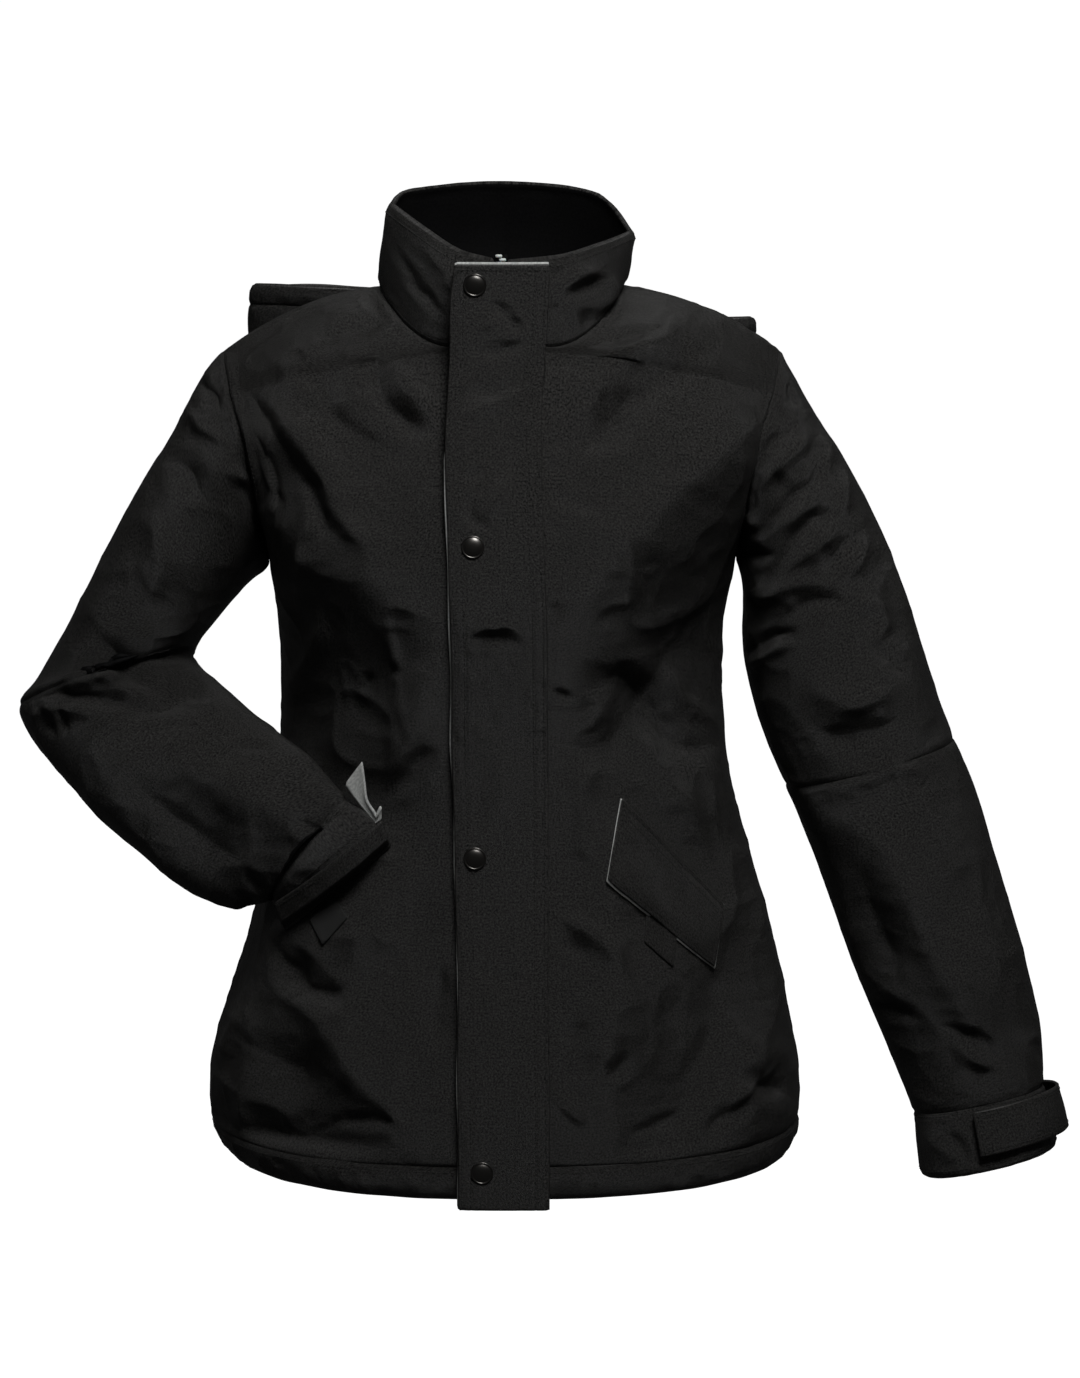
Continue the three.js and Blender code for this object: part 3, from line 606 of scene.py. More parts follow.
shared = {**share_directions(sewn), **share_directions(["hood", "hood_edge"])}
SEAM_BLEND = 6
normals = {
    name: unit(mix(own[name], shared[name], np.exp(-((edge[name] / SEAM_BLEND) ** 2))[..., None]))
    for name in skins
}
print("directions for", len(normals), "pieces")

# %% [markdown]
# The main folds of the front, as they are seen from the camera. Rows hold height and reach in
# millimetres or dots and then the places in the picture. The wearer's right front has one long
# ridge from the armhole to the flap and a puff by the neck, and the left front has a broad
# light band with a sharp edge, and a deep sickle fold at the waist.

# %% Folds of the fronts
FRONT_RIGHT_FOLDS = [
    (8, 15, (226, 386), (266, 402), (295, 438), (319, 472), (343, 510), (374, 536), (412, 544)),
    (-3.5, 14, (272, 424), (300, 478), (330, 524), (352, 548)),
    (-3, 16, (300, 352), (330, 396), (366, 450), (404, 512)),
    (4, 15, (254, 336), (286, 376), (338, 405), (362, 440), (396, 486)),
    (7, 15, (404, 346), (399, 376), (416, 402), (446, 420)),
    (-6, 10, (384, 326), (371, 362), (382, 400), (414, 426), (448, 432)),
    (-1.6, 4, (412, 362), (428, 390), (446, 402)),
    (-3, 9, (316, 360), (334, 336), (360, 325), (398, 330)),
    (3, 9, (322, 344), (346, 318), (380, 315)),
    (-4, 13, (286, 340), (318, 392), (352, 430), (420, 470)),
    (-3, 12, (236, 372), (262, 420), (296, 470), (318, 520)),
    (-2, 4, (418, 488), (434, 484), (452, 482)),
    (-8, 12, (240, 420), (268, 486), (279, 552)),
    (3, 6, (262, 498), (276, 518), (283, 540)),
    (2, 6, (290, 443), (298, 482), (310, 539), (305, 570)),
    (2.5, 8, (312, 530), (307, 568), (293, 610)),
    (5, 10, (328, 600), (310, 640), (288, 686), (272, 696)),
    (-1.6, 5, (350, 696), (358, 688), (370, 681)),
    (-1.4, 5, (382, 672), (390, 674), (400, 677)),
    (5, 20, (444, 650), (414, 706), (400, 756), (404, 812)),
    (-2, 7, (440, 742), (412, 772), (384, 802)),
    (-10, 10, (278, 932), (300, 972), (334, 992), (362, 978)),
    (5, 18, (284, 990), (338, 1040), (354, 1076), (404, 1112)),
    (-5, 24, (246, 1040), (288, 1066), (330, 1086)),
    (3, 9, (268, 986), (234, 1036), (217, 1068)),
    (-4, 12, (444, 962), (438, 1010), (428, 1066)),
    (-3.5, 5, (292, 1142), (346, 1122), (390, 1121), (444, 1110)),
    (3, 5, (386, 1108), (394, 1117), (410, 1130)),
]
RIGHT_SWELLS = [
    (4.5, 52, (236, 500), (330, 560), (444, 590)),
    (-4, 50, (222, 690), (320, 700), (436, 720)),
    (7, 40, (410, 830), (366, 930), (346, 1010), (390, 1100)),
    (-6, 40, (222, 1130), (300, 1150), (420, 1180)),
]
FRONT_LEFT_FOLDS = [
    (7, 26, (540, 428), (602, 378), (664, 333), (730, 318)),
    (-6, 12, (540, 482), (598, 436), (630, 400), (684, 362), (730, 334)),
    (8, 34, (545, 660), (612, 556), (676, 484), (738, 436), (772, 414)),
    (-2.6, 4, (544, 401), (566, 404), (586, 396), (596, 402)),
    (-2.2, 4, (544, 371), (566, 366), (584, 372)),
    (-2.2, 4, (540, 443), (560, 446), (580, 441)),
    (-2, 4, (538, 467), (550, 466), (562, 474)),
    (-2.4, 5, (540, 500), (573, 501), (606, 517)),
    (-2.2, 4, (540, 522), (556, 530), (575, 544)),
    (-1.6, 4, (540, 614), (554, 612), (566, 604)),
    (-3, 5, (566, 356), (611, 342), (645, 336), (682, 312)),
    (3.5, 6, (560, 368), (606, 356), (650, 350), (690, 330)),
    (-10, 11, (588, 682), (634, 687), (664, 716), (690, 748), (724, 742)),
    (6, 10, (586, 690), (606, 704), (600, 724), (560, 742)),
    (-3, 5, (570, 736), (598, 727), (606, 712)),
    (3.5, 6, (676, 636), (688, 688), (712, 718), (727, 746)),
    (-1.6, 4, (550, 690), (562, 697), (576, 704)),
    (4, 14, (560, 744), (582, 778), (588, 835), (570, 878)),
    (3.5, 10, (628, 722), (676, 786), (698, 826), (714, 872)),
    (4.5, 9, (556, 914), (577, 922), (614, 955), (632, 996)),
    (-2.2, 6, (556, 940), (572, 946), (590, 968)),
    (-2.4, 6, (556, 1042), (572, 1034), (588, 1018)),
    (3, 5, (548, 1074), (570, 1112), (590, 1136)),
    (-3, 7, (600, 1082), (618, 1066), (634, 1048)),
    (4, 10, (722, 966), (733, 1020), (752, 1060), (770, 1082)),
    (-9, 12, (742, 1100), (768, 1084), (796, 1102)),
    (5, 6, (724, 1120), (752, 1090), (782, 1060)),
    (-4, 5, (698, 1135), (738, 1111), (758, 1092)),
    (3.5, 6, (742, 872), (764, 918), (776, 986), (778, 1016)),
    (-2.4, 5, (624, 1140), (660, 1126), (698, 1114)),
]
LEFT_SWELLS = [
    (-8, 44, (590, 780), (660, 690), (746, 560)),
    (7, 36, (600, 770), (610, 870), (604, 1010), (620, 1110)),
    (-8, 40, (640, 1180), (710, 1060), (740, 900)),
]

# %% [markdown]
# Folds of the sleeves, also as they are seen. The hanging sleeve is crushed at the armpit, with
# five hooked creases one below the other, and smooth below the elbow. The bent one has its one
# deep fold at the inner elbow and short pleats at the elbow's tip.

# %% Folds of the sleeves
HANGING_FOLDS = [
    (-6, 6, (736, 482), (770, 446), (806, 420)),
    (5, 8, (748, 498), (776, 470), (800, 444), (812, 428)),
    (-3, 5, (772, 470), (780, 484), (772, 500)),
    (-5, 5, (756, 532), (796, 497), (818, 478), (821, 456)),
    (4, 6, (758, 546), (800, 512), (828, 488)),
    (4, 5, (740, 510), (748, 522), (760, 532)),
    (-6, 5, (773, 572), (796, 535), (825, 515), (838, 519)),
    (5, 7, (784, 576), (816, 546), (838, 526)),
    (-4.5, 6, (826, 590), (834, 556), (862, 532)),
    (4, 6, (846, 580), (860, 556), (864, 534)),
    (-7, 6, (726, 552), (750, 556), (778, 554)),
    (5, 7, (738, 580), (756, 600), (796, 584), (826, 588)),
    (-5.5, 6, (780, 622), (812, 602), (856, 606)),
    (-3, 5, (728, 604), (746, 600), (766, 607)),
    (-6, 5, (728, 656), (772, 637), (806, 630)),
    (5, 6, (734, 668), (774, 652), (808, 640)),
    (4, 6, (846, 594), (878, 606), (884, 626), (866, 650)),
    (-3, 6, (864, 632), (892, 660), (910, 678)),
    (-2.5, 5, (784, 382), (792, 396), (798, 414)),
    (3.5, 5, (818, 424), (827, 452), (832, 476)),
    (3, 6, (846, 456), (845, 490), (838, 522)),
    (2.5, 7, (876, 534), (902, 583), (930, 646), (952, 704)),
    (4, 14, (796, 674), (849, 704), (912, 680)),
    (-3, 12, (810, 722), (856, 736), (916, 708)),
    (4, 18, (824, 806), (880, 846), (914, 906), (944, 966), (976, 1026), (994, 1092)),
    (3.5, 10, (826, 800), (866, 778), (912, 772), (938, 796)),
    (-3, 14, (852, 860), (880, 930), (904, 1000)),
    (-3.5, 5, (862, 998), (890, 1010), (920, 1023)),
    (-4, 5, (934, 1024), (965, 1035), (990, 1050), (1016, 1069)),
    (3, 6, (944, 1044), (972, 1056), (996, 1072)),
    (-3, 4, (1036, 1036), (1040, 1050), (1044, 1064)),
    (-2.5, 5, (942, 1130), (954, 1144), (968, 1160)),
]
BENT_FOLDS = [
    (-5, 5, (200, 358), (231, 402), (254, 432), (278, 456)),
    (-3.5, 5, (188, 366), (208, 392), (226, 414)),
    (4, 6, (186, 402), (206, 430), (230, 446)),
    (-5, 6, (228, 488), (256, 495), (286, 506)),
    (4, 7, (222, 470), (250, 480), (276, 488)),
    (-3, 10, (160, 452), (188, 477), (212, 504)),
    (3, 12, (150, 500), (164, 560), (140, 620)),
    (-4.5, 7, (96, 632), (132, 672), (174, 698)),
    (4, 8, (48, 690), (96, 678), (140, 688)),
    (-9, 7, (10, 712), (50, 697), (86, 695), (148, 709), (196, 690)),
    (-9, 12, (150, 712), (182, 694), (208, 660)),
    (-4, 4, (36, 704), (44, 722), (50, 742)),
    (-3, 4, (56, 704), (62, 720), (60, 738)),
    (5, 7, (24, 724), (44, 712), (78, 708), (120, 716)),
    (-2.4, 6, (160, 722), (180, 728), (202, 730)),
    (-3.5, 20, (120, 770), (190, 834), (254, 868)),
    (4, 22, (110, 730), (190, 766), (270, 806), (318, 838)),
    (-5, 5, (234, 888), (256, 905), (276, 900)),
    (-3, 4, (246, 864), (256, 880), (270, 892)),
    (-2, 5, (230, 742), (252, 748), (276, 750)),
    (-2.4, 6, (292, 812), (306, 826), (322, 832)),
]
print(len(HANGING_FOLDS) + len(BENT_FOLDS), "folds on the sleeves")

# %% [markdown]
# Hidden sides get folds of the same kind. Those of the back are placed in millimetres across
# and up, those behind the sleeves by the place along the sleeve and the turn round it.

# %% Folds of the hidden sides
BACK_FOLDS = [
    (7, 20, (-150, -190), (-96, -232), (-52, -300)),
    (7, 22, (148, -200), (104, -250), (66, -330)),
    (-4, 12, (-140, -226), (-92, -276), (-64, -330)),
    (-4, 12, (136, -240), (96, -296), (70, -352)),
    (6, 24, (-60, -380), (-96, -470), (-112, -560)),
    (6, 24, (70, -400), (92, -480), (128, -566)),
    (-4, 13, (-20, -420), (-34, -500), (-30, -580)),
    (-3.5, 10, (132, -430), (150, -500), (176, -560)),
    (-3.5, 10, (-140, -420), (-156, -500), (-170, -570)),
    (-3, 8, (-158, -330), (-120, -344), (-84, -338)),
    (-3, 8, (156, -346), (116, -352), (84, -340)),
    (4, 12, (20, -360), (10, -450), (26, -540)),
]
BEHIND_SCALE = (40, 1.05)
BEHIND_FOLDS = {
    "left": [
        (6, 18, (2.4, -30), (3.6, -90), (4.4, -140)),
        (-5, 9, (3.6, -40), (4.4, -90), (5.0, -130)),
        (6, 18, (6.8, -20), (7.3, -90), (7.1, -150)),
        (-5, 8, (7.6, -30), (7.9, -90), (7.7, -140)),
        (6, 18, (9.2, -30), (8.8, -100), (9.3, -150)),
        (5, 17, (12.0, -20), (12.9, -90), (12.6, -150)),
        (-4, 8, (13.4, -30), (13.8, -80), (13.6, -140)),
        (-4, 9, (1.4, -60), (2.0, -110), (2.6, -150)),
    ],
    "right": [
        (6, 18, (2.6, -30), (3.6, -90), (4.6, -140)),
        (-5, 9, (3.8, -40), (4.6, -90), (5.2, -140)),
        (6, 18, (5.8, -30), (6.2, -90), (6.0, -150)),
        (-6, 8, (6.8, -60), (7.0, -110), (7.2, -160)),
        (4, 16, (8.4, -40), (8.8, -90), (8.6, -140)),
        (-4, 9, (10.0, -40), (10.3, -90), (10.1, -140)),
    ],
}
HOOD_FOLDS = [
    (-6, 12, (-150, -70), (-90, -150), (-20, -205)),
    (-6, 12, (150, -70), (92, -158), (26, -212)),
    (5, 16, (-120, -60), (-60, -120), (10, -150)),
    (5, 15, (126, -64), (76, -118), (20, -170)),
    (-4, 9, (-60, -56), (-16, -104), (34, -120)),
    (-4, 9, (-150, -130), (-110, -190), (-60, -240)),
    (-4, 9, (140, -150), (104, -200), (56, -246)),
    (4, 12, (-30, -180), (-8, -220), (12, -256)),
]
print(len(BACK_FOLDS), "folds on the back")


# %% [markdown]
# Now the cloth is shaped. Every net is moved along its directions by its folds, a little
# crushed ground, and a dip with small puckers along each seam, where the thread draws in.

# %% Shape the cloth
SEAM_DIP, SEAM_NARROW, PUCKER = 1.3, 2.4, 0.7


def seam_relief(name):
    away = edge[name]
    dip = -SEAM_DIP * np.exp(-((away / SEAM_NARROW) ** 2))
    pucker = PUCKER * np.exp(-((away / 11) ** 2)) * (1 - np.exp(-((away / 2) ** 2)))
    return dip + pucker * soft_noise(skins[name], 6.5, 5)


def seen_folds(name, folds, turned=0.42):
    """Folds placed by the picture, on what faces the camera."""
    facing = ease((-normals[name][..., 1] - 0.02) / turned)
    return facing * fold_height(in_picture(skins[name]), folds)


def calm_outline(name):
    """Less crushing where the cloth turns out of sight, so that outlines stay smooth."""
    return 0.35 + 0.65 * ease(np.abs(normals[name][..., 1]) / 0.6)


def sleeve_height(name, side, folds, first_place, last_place):
    net = skins[name]
    _, turns = armhole(side)
    rows = PLACES[side][(PLACES[side] >= first_place) & (PLACES[side] <= last_place)]
    clear = ease(rows / 0.8)[:, None] * ease((CUFF_END[side] - rows) / 0.5)[:, None]
    down, round_it = rows[:, None] * BEHIND_SCALE[0], np.degrees(turns) * BEHIND_SCALE[1]
    where = np.stack(np.broadcast_arrays(down, round_it), -1)
    behind = [
        (h, r, *[(p * BEHIND_SCALE[0], t * BEHIND_SCALE[1]) for p, t in path])
        for h, r, *path in BEHIND_FOLDS[side]
    ]
    crushed = 1.4 * crumple(net, 46, 11) + 0.6 * crumple(net, 20, 13) + 3.4 * soft_noise(net, 70, 12)
    crushed = crushed * calm_outline(name)
    return clear * (seen_folds(name, folds) + fold_height(where, behind) + crushed)


FLAP_MIDDLE, FLAP_HALF, BESIDE_FLAP = 502, 48, 55
FRONTS = {
    "front_left": (FRONT_LEFT_FOLDS, LEFT_SWELLS),
    "front_right": (FRONT_RIGHT_FOLDS, RIGHT_SWELLS),
}


def beside_flap(net):
    """Nothing at the storm flap, which holds the cloth flat, and all of it away from there."""
    return ease((np.abs(in_picture(net)[..., 0] - FLAP_MIDDLE) - FLAP_HALF) / BESIDE_FLAP)


heights = {}
still = 12
for name in ("front_left", "front_right", "back"):
    held = ease(edge[name] / still)
    net = skins[name]
    ground = 2.6 * crumple(net, 60, 21) + 0.9 * crumple(net, 24, 23) + 6 * soft_noise(net, 90, 22)
    ground = ground * calm_outline(name)
    if name in FRONTS:
        folds, swells = FRONTS[name]
        lines = seen_folds(name, folds)
        ground = beside_flap(net) * (ground + seen_folds(name, swells))
    else:
        lines = fold_height(net[..., [0, 2]], BACK_FOLDS)
    heights[name] = held * (lines + ground)
for side, folds in (("left", HANGING_FOLDS), ("right", BENT_FOLDS)):
    parts = (
        (f"sleeve_{side}_upper", 0, ELBOW[side]),
        (f"sleeve_{side}_lower", ELBOW[side], WRIST[side]),
        (f"cuff_{side}", WRIST[side], CUFF_END[side]),
    )
    for name, first_place, last_place in parts:
        heights[name] = sleeve_height(name, side, folds, first_place, last_place)
print("highest fold:", round(max(h.max() for h in heights.values()), 1), "mm")

# %% [markdown]
# The hem casing is gathered on its cord into short upright wrinkles. The collar has one pressed
# crease on the wearer's right and a crushed place on the left, where the flap is sewn in.

# %% Hem, collar and hood heights
COLLAR_FOLDS = [
    (-2.2, 4, (386, 232), (414, 278), (436, 310), (454, 324)),
    (1.5, 8, (412, 236), (446, 270), (456, 296)),
    (-4.5, 7, (560, 304), (590, 288), (606, 279)),
    (4, 7, (556, 292), (584, 276), (604, 268)),
    (-3, 5, (548, 284), (555, 307), (568, 328), (580, 338)),
    (-2.4, 5, (582, 308), (588, 320), (592, 334)),
    (3, 6, (612, 272), (614, 294), (598, 314)),
    (-2, 5, (552, 279), (562, 274), (574, 270)),
]
casing = skins["hem_casing"]
gathers = crumple(casing * np.array([1, 1, 0.35]), 13, 31)
middle_of_casing = np.sin(math.pi * np.linspace(0, 1, len(casing)))[:, None]
heights["hem_casing"] = 1.5 * gathers * middle_of_casing + 0.5 * soft_noise(casing, 20, 32)
heights["collar"] = ease(edge["collar"] / 8) * (
    seen_folds("collar", COLLAR_FOLDS) + 0.5 * soft_noise(collar, 25, 33)
)
for name in ("hood", "hood_edge"):
    rear = ease(normals[name][..., 1] / 0.4)
    drape = fold_height(skins[name][..., [0, 2]], HOOD_FOLDS)
    heights[name] = rear * drape * ease(edge[name] / 10) + 1.2 * soft_noise(skins[name], 34, 34)

cloth = {
    name: skins[name] + normals[name] * (heights[name] + seam_relief(name))[..., None]
    for name in skins
}
print("shaped", len(cloth), "pieces")

# %% [markdown]
# ## Finishes
# Shader maths reads like ordinary maths here: a Value wraps one socket, and each operator adds
# one Math node. Finish holds a material and adds every other kind of node.


# %% Shader helpers
class Value:
    def __init__(self, tree, socket):
        self.tree, self.socket = tree, socket

    def joined(self, operation, first, second):
        node = self.tree.nodes.new("ShaderNodeMath")
        node.operation = operation
        for socket, value in zip(node.inputs, (first, second)):
            if isinstance(value, Value):
                self.tree.links.new(value.socket, socket)
            else:
                socket.default_value = value
        return Value(self.tree, node.outputs[0])

    def __add__(self, other):
        return self.joined("ADD", self, other)

    def __radd__(self, other):
        return self.joined("ADD", other, self)

    def __sub__(self, other):
        return self.joined("SUBTRACT", self, other)

    def __rsub__(self, other):
        return self.joined("SUBTRACT", other, self)

    def __mul__(self, other):
        return self.joined("MULTIPLY", self, other)

    def __rmul__(self, other):
        return self.joined("MULTIPLY", other, self)


class Finish:
    """A material with its main shader; constants are set on the shader's own sockets."""

    def __init__(self, name, **constants):
        self.material = bpy.data.materials.new(name)
        self.material.use_nodes = True
        self.tree = self.material.node_tree
        self.shader = self.tree.nodes["Principled BSDF"]
        for socket, value in constants.items():
            self.shader.inputs[socket.replace("_", " ")].default_value = value

    def node(self, kind, settings=None, output=0, **inputs):
        node = self.tree.nodes.new(kind)
        for key, value in (settings or {}).items():
            setattr(node, key, value)
        for key, value in inputs.items():
            socket = node.inputs[key.replace("_", " ")]
            if isinstance(value, Value):
                self.tree.links.new(value.socket, socket)
            else:
                socket.default_value = value
        return Value(self.tree, node.outputs[output])

    def maths(self, operation, value):
        node = self.tree.nodes.new("ShaderNodeMath")
        node.operation = operation
        self.tree.links.new(value.socket, node.inputs[0])
        return Value(self.tree, node.outputs[0])

    def split(self, vector):
        node = self.tree.nodes.new("ShaderNodeSeparateXYZ")
        self.tree.links.new(vector.socket, node.inputs[0])
        return [Value(self.tree, out) for out in node.outputs]

    def colour_between(self, share, first, second):
        node = self.tree.nodes.new("ShaderNodeMix")
        node.data_type = "RGBA"
        self.tree.links.new(share.socket, node.inputs["Factor"])
        node.inputs[6].default_value, node.inputs[7].default_value = first, second
        return Value(self.tree, node.outputs[2])

    def feed(self, socket, value):
        self.tree.links.new(value.socket, self.shader.inputs[socket])

    def bump(self, height, strength, distance):
        lifted = self.node("ShaderNodeBump", Height=height, Strength=strength, Distance=distance)
        self.feed("Normal", lifted)


# %% [markdown]
# The shell is a plain weave of dull black yarn with a coating, so it has a soft sheen and no
# clear gloss. The yarns cross every half millimetre. Each net carries its own cloth places
# (millimetres along the warp and the weft), so the weave follows the cut and needs no UVs.
# Thick and thin yarns show as faint streaks both ways.

# %% Cloth finishes
YARN = 0.62
TWO_PI = 2 * math.pi


def woven(name, dark, light, roughness, weave_lift, **constants):
    finish = Finish(name, **constants)
    place = finish.node("ShaderNodeAttribute", {"attribute_name": "cloth_place"}, output=1)
    across, along, _ = finish.split(place)
    warp = finish.maths("SINE", across * (TWO_PI / YARN))
    weft = finish.maths("SINE", along * (TWO_PI / YARN))
    crossing = warp * weft

    def streaks(stretch, scale):
        moved = finish.node("ShaderNodeVectorMath", {"operation": "MULTIPLY"})
        node = moved.socket.node
        finish.tree.links.new(place.socket, node.inputs[0])
        node.inputs[1].default_value = stretch
        return finish.node("ShaderNodeTexNoise", Vector=moved, Scale=scale, Detail=2.0)

    thick = streaks((1.0, 0.05, 1.0), 0.9)
    thin = streaks((0.05, 1.0, 1.0), 0.9)
    grain = finish.node("ShaderNodeTexNoise", Vector=place, Scale=0.7, Detail=3.0)
    patches = finish.node("ShaderNodeTexNoise", Vector=place, Scale=0.02, Detail=2.0)
    tone = (thick + thin) * 0.3 + (grain - 0.5) * 3 + 0.2 + crossing * 0.08
    finish.feed("Base Color", finish.colour_between(tone, dark, light))
    finish.feed("Roughness", roughness + (patches - 0.5) * 0.12 + (grain - 0.5) * 0.3)
    relief = crossing * 0.5 + (thick + thin) * 0.5 + grain * 1.5
    finish.bump(relief, weave_lift, 0.0003)
    return finish.material


shell_cloth = woven(
    "shell cloth",
    (0.0008, 0.0008, 0.0008, 1),
    (0.048, 0.0466, 0.0442, 1),
    0.43,
    0.9,
    Specular_IOR_Level=0.28,
)
# A much darker copy of the shell cloth with less sheen, for inner faces and the zip tapes: painted shade for
# the inside and for what lies under the flap.
shaded_shell_cloth = woven(
    "shaded shell cloth",
    (0.0016, 0.0016, 0.0017, 1),
    (0.0040, 0.0040, 0.0042, 1),
    0.7,
    0.3,
    Specular_IOR_Level=0.08,
)
grey_lining = woven(
    "grey lining",
    (0.36, 0.37, 0.36, 1),
    (0.56, 0.57, 0.55, 1),
    0.75,
    0.4,
    Specular_IOR_Level=0.25,
)
print("finishes:", [m.name for m in (shell_cloth, shaded_shell_cloth, grey_lining)])

# %% [markdown]
# Thread, metal, zip teeth and hook tape. The snaps are dark nickel: nearly smooth, with faint
# brushing and a few rubbed spots. The teeth are a milky plastic.

# %% Hard finishes
thread = Finish("thread", Roughness=0.55, Specular_IOR_Level=0.25)
twist = thread.node("ShaderNodeTexNoise", Scale=900.0, Detail=2.0)
thread.feed("Base Color", thread.colour_between(twist, (0.006, 0.006, 0.006, 1), (0.034, 0.033, 0.031, 1)))
thread.bump(twist, 0.4, 0.0002)
thread = thread.material

nickel = Finish("dark nickel", Metallic=1.0)
rubbed = nickel.node("ShaderNodeTexNoise", Scale=260.0, Detail=3.0)
nickel.feed("Base Color", nickel.colour_between(rubbed, (0.05, 0.047, 0.044, 1), (0.16, 0.154, 0.145, 1)))
nickel.feed("Roughness", 0.24 + rubbed * 0.16)
nickel = nickel.material

milky = Finish("milky plastic", Roughness=0.35, Specular_IOR_Level=0.5, Subsurface_Weight=0.2)
cloudy = milky.node("ShaderNodeTexNoise", Scale=300.0, Detail=2.0)
milky.feed("Base Color", milky.colour_between(cloudy, (0.60, 0.58, 0.52, 1), (0.86, 0.85, 0.80, 1)))
milky.bump(cloudy, 0.2, 0.0002)
milky = milky.material

hook_tape = Finish("hook tape", Roughness=0.6, Specular_IOR_Level=0.4)
fuzz = hook_tape.node("ShaderNodeTexNoise", Scale=1100.0, Detail=3.0)
hook_colours = ((0.0005, 0.0005, 0.0005, 1), (0.02, 0.02, 0.019, 1))
hook_tape.feed("Base Color", hook_tape.colour_between(fuzz, *hook_colours))
hook_tape.bump(fuzz, 0.8, 0.0006)
hook_tape = hook_tape.material
print("hard finishes made")

# %% [markdown]
# Making a piece. A cloth piece is thin: its outer skin, the same skin moved in by the wall, and
# a rounded edge between them. The outer skin has the shell finish and the inner one a much darker
# copy of it, which is painted shade for the inside of the cloth.


# %% Cloth piece maker
NARROWEST_SHEET = 0.01
SLOTS = {
    "shell cloth": "shell_cloth",
    "shaded shell cloth": "shell_cloth",
    "grey lining": "lining",
    "hook tape": "hook_fabric",
}


def cloth_places(net):
    down = np.linalg.norm(np.diff(net, axis=0), axis=2).mean(1)
    rows = np.concatenate([[0], np.cumsum(down)])
    across = np.linalg.norm(np.diff(net, axis=1), axis=2)
    columns = np.concatenate([np.zeros((len(net), 1)), np.cumsum(across, axis=1)], axis=1)
    columns -= columns[:, -1:] / 2
    return np.stack([columns, np.broadcast_to(rows[:, None], columns.shape), np.zeros_like(columns)], -1)


def edge_loops(rows, columns, around):
    """Edge points in order, as numbers of the net, and for each the point next to it inside."""
    number = np.arange(rows * columns).reshape(rows, columns)
    if around:
        return [(number[0], number[1]), (number[-1][::-1], number[-2][::-1])]
    outer = [number[0, :-1], number[:-1, -1], number[-1, :0:-1], number[:0:-1, 0]]
    inner = [number[1, :-1], number[:-1, -2], number[-2, :0:-1], number[:0:-1, 1]]
    return [(np.concatenate(outer), np.concatenate(inner))]


def add_object(name, points, faces, finishes, face_finish=None, places=None, slot=None):
    mesh = bpy.data.meshes.new(name)
    mesh.from_pydata((np.asarray(points) * MM).tolist(), [], faces)
    for finish in finishes:
        mesh.materials.append(finish)
    if face_finish is not None:
        mesh.polygons.foreach_set("material_index", np.asarray(face_finish, np.int32))
    if places is not None:
        attribute = mesh.attributes.new("cloth_place", "FLOAT_VECTOR", "POINT")
        attribute.data.foreach_set("vector", np.asarray(places, np.float32).ravel())
    mesh.polygons.foreach_set("use_smooth", np.ones(len(mesh.polygons), bool))
    mesh.update()
    piece = bpy.data.objects.new(name, mesh)
    bpy.context.scene.collection.objects.link(piece)
    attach(piece, "root")
    return piece


def cut_size(net, around):
    """Width and length in metres that a piece is cut to, and its area, measured along the cloth."""
    down = np.linalg.norm(np.diff(net, axis=0), axis=2).sum(0).max() * MM
    closed = np.concatenate([net, net[:, :1]], axis=1) if around else net
    across = np.linalg.norm(np.diff(closed, axis=1), axis=2).sum(1).max() * MM
    one, other = closed[1:, 1:] - closed[:-1, :-1], closed[1:, :-1] - closed[:-1, 1:]
    area = np.linalg.norm(np.cross(one, other), axis=2).sum() / 2 * MM**2
    return (across, down), min(area, across * down)


def cloth_piece(name, net, wall, around=False, finishes=None, square=None):
    # Inner faces default to the darker copy of the shell cloth, which is painted shade.
    finishes = finishes or (shell_cloth, shaded_shell_cloth)
    rows, columns = net.shape[:2]
    down, across = slopes_of(net, around)
    if square is None:
        square = unit(np.cross(across, down))
    turned = np.sum(np.cross(across, down) * square) < 0
    inner = net - square * wall
    count = rows * columns
    grid = np.arange(count).reshape(rows, columns)
    right = np.roll(grid, -1, axis=1) if around else grid[:, 1:]
    left = grid if around else grid[:, :-1]
    quads = np.stack([left[:-1], right[:-1], right[1:], left[1:]], -1).reshape(-1, 4)
    if turned:
        quads = quads[:, ::-1]
    points = [net.reshape(-1, 3), inner.reshape(-1, 3)]
    places = cloth_places(net).reshape(-1, 3)
    all_places = [places, places]
    faces = [quads[:, ::-1], quads[:, ::-1][:, ::-1] + count]
    kinds = [np.zeros(len(quads), int), np.ones(len(quads), int)]
    start = 2 * count
    flat, deep = points
    for outer_edge, next_in in edge_loops(rows, columns, around):
        out = unit(flat[outer_edge] - flat[next_in])
        bulge = (flat[outer_edge] + deep[outer_edge]) / 2 + out * wall * 0.45
        points.append(bulge)
        all_places.append(places[outer_edge])
        ring = np.arange(len(outer_edge)) + start
        for near, far in ((outer_edge, ring), (ring, outer_edge + count)):
            strip = np.stack([near, np.roll(near, -1), np.roll(far, -1), far], -1)
            if turned:
                strip = strip[:, ::-1]
            faces.append(strip)
            kinds.append(np.zeros(len(strip), int))
        start += len(outer_edge)
    made = add_object(
        name,
        np.concatenate(points),
        np.concatenate(faces).tolist(),
        finishes,
        np.concatenate(kinds),
        np.concatenate(all_places),
        SLOTS[finishes[0].name],
    )
    flat, area = cut_size(net, around)
    min(flat) > NARROWEST_SHEET
    print(f"{name}: cut {flat[0] * 1000:.0f} by {flat[1] * 1000:.0f} mm, {area * 10000:.0f} square cm")
    return made


print("maker ready")

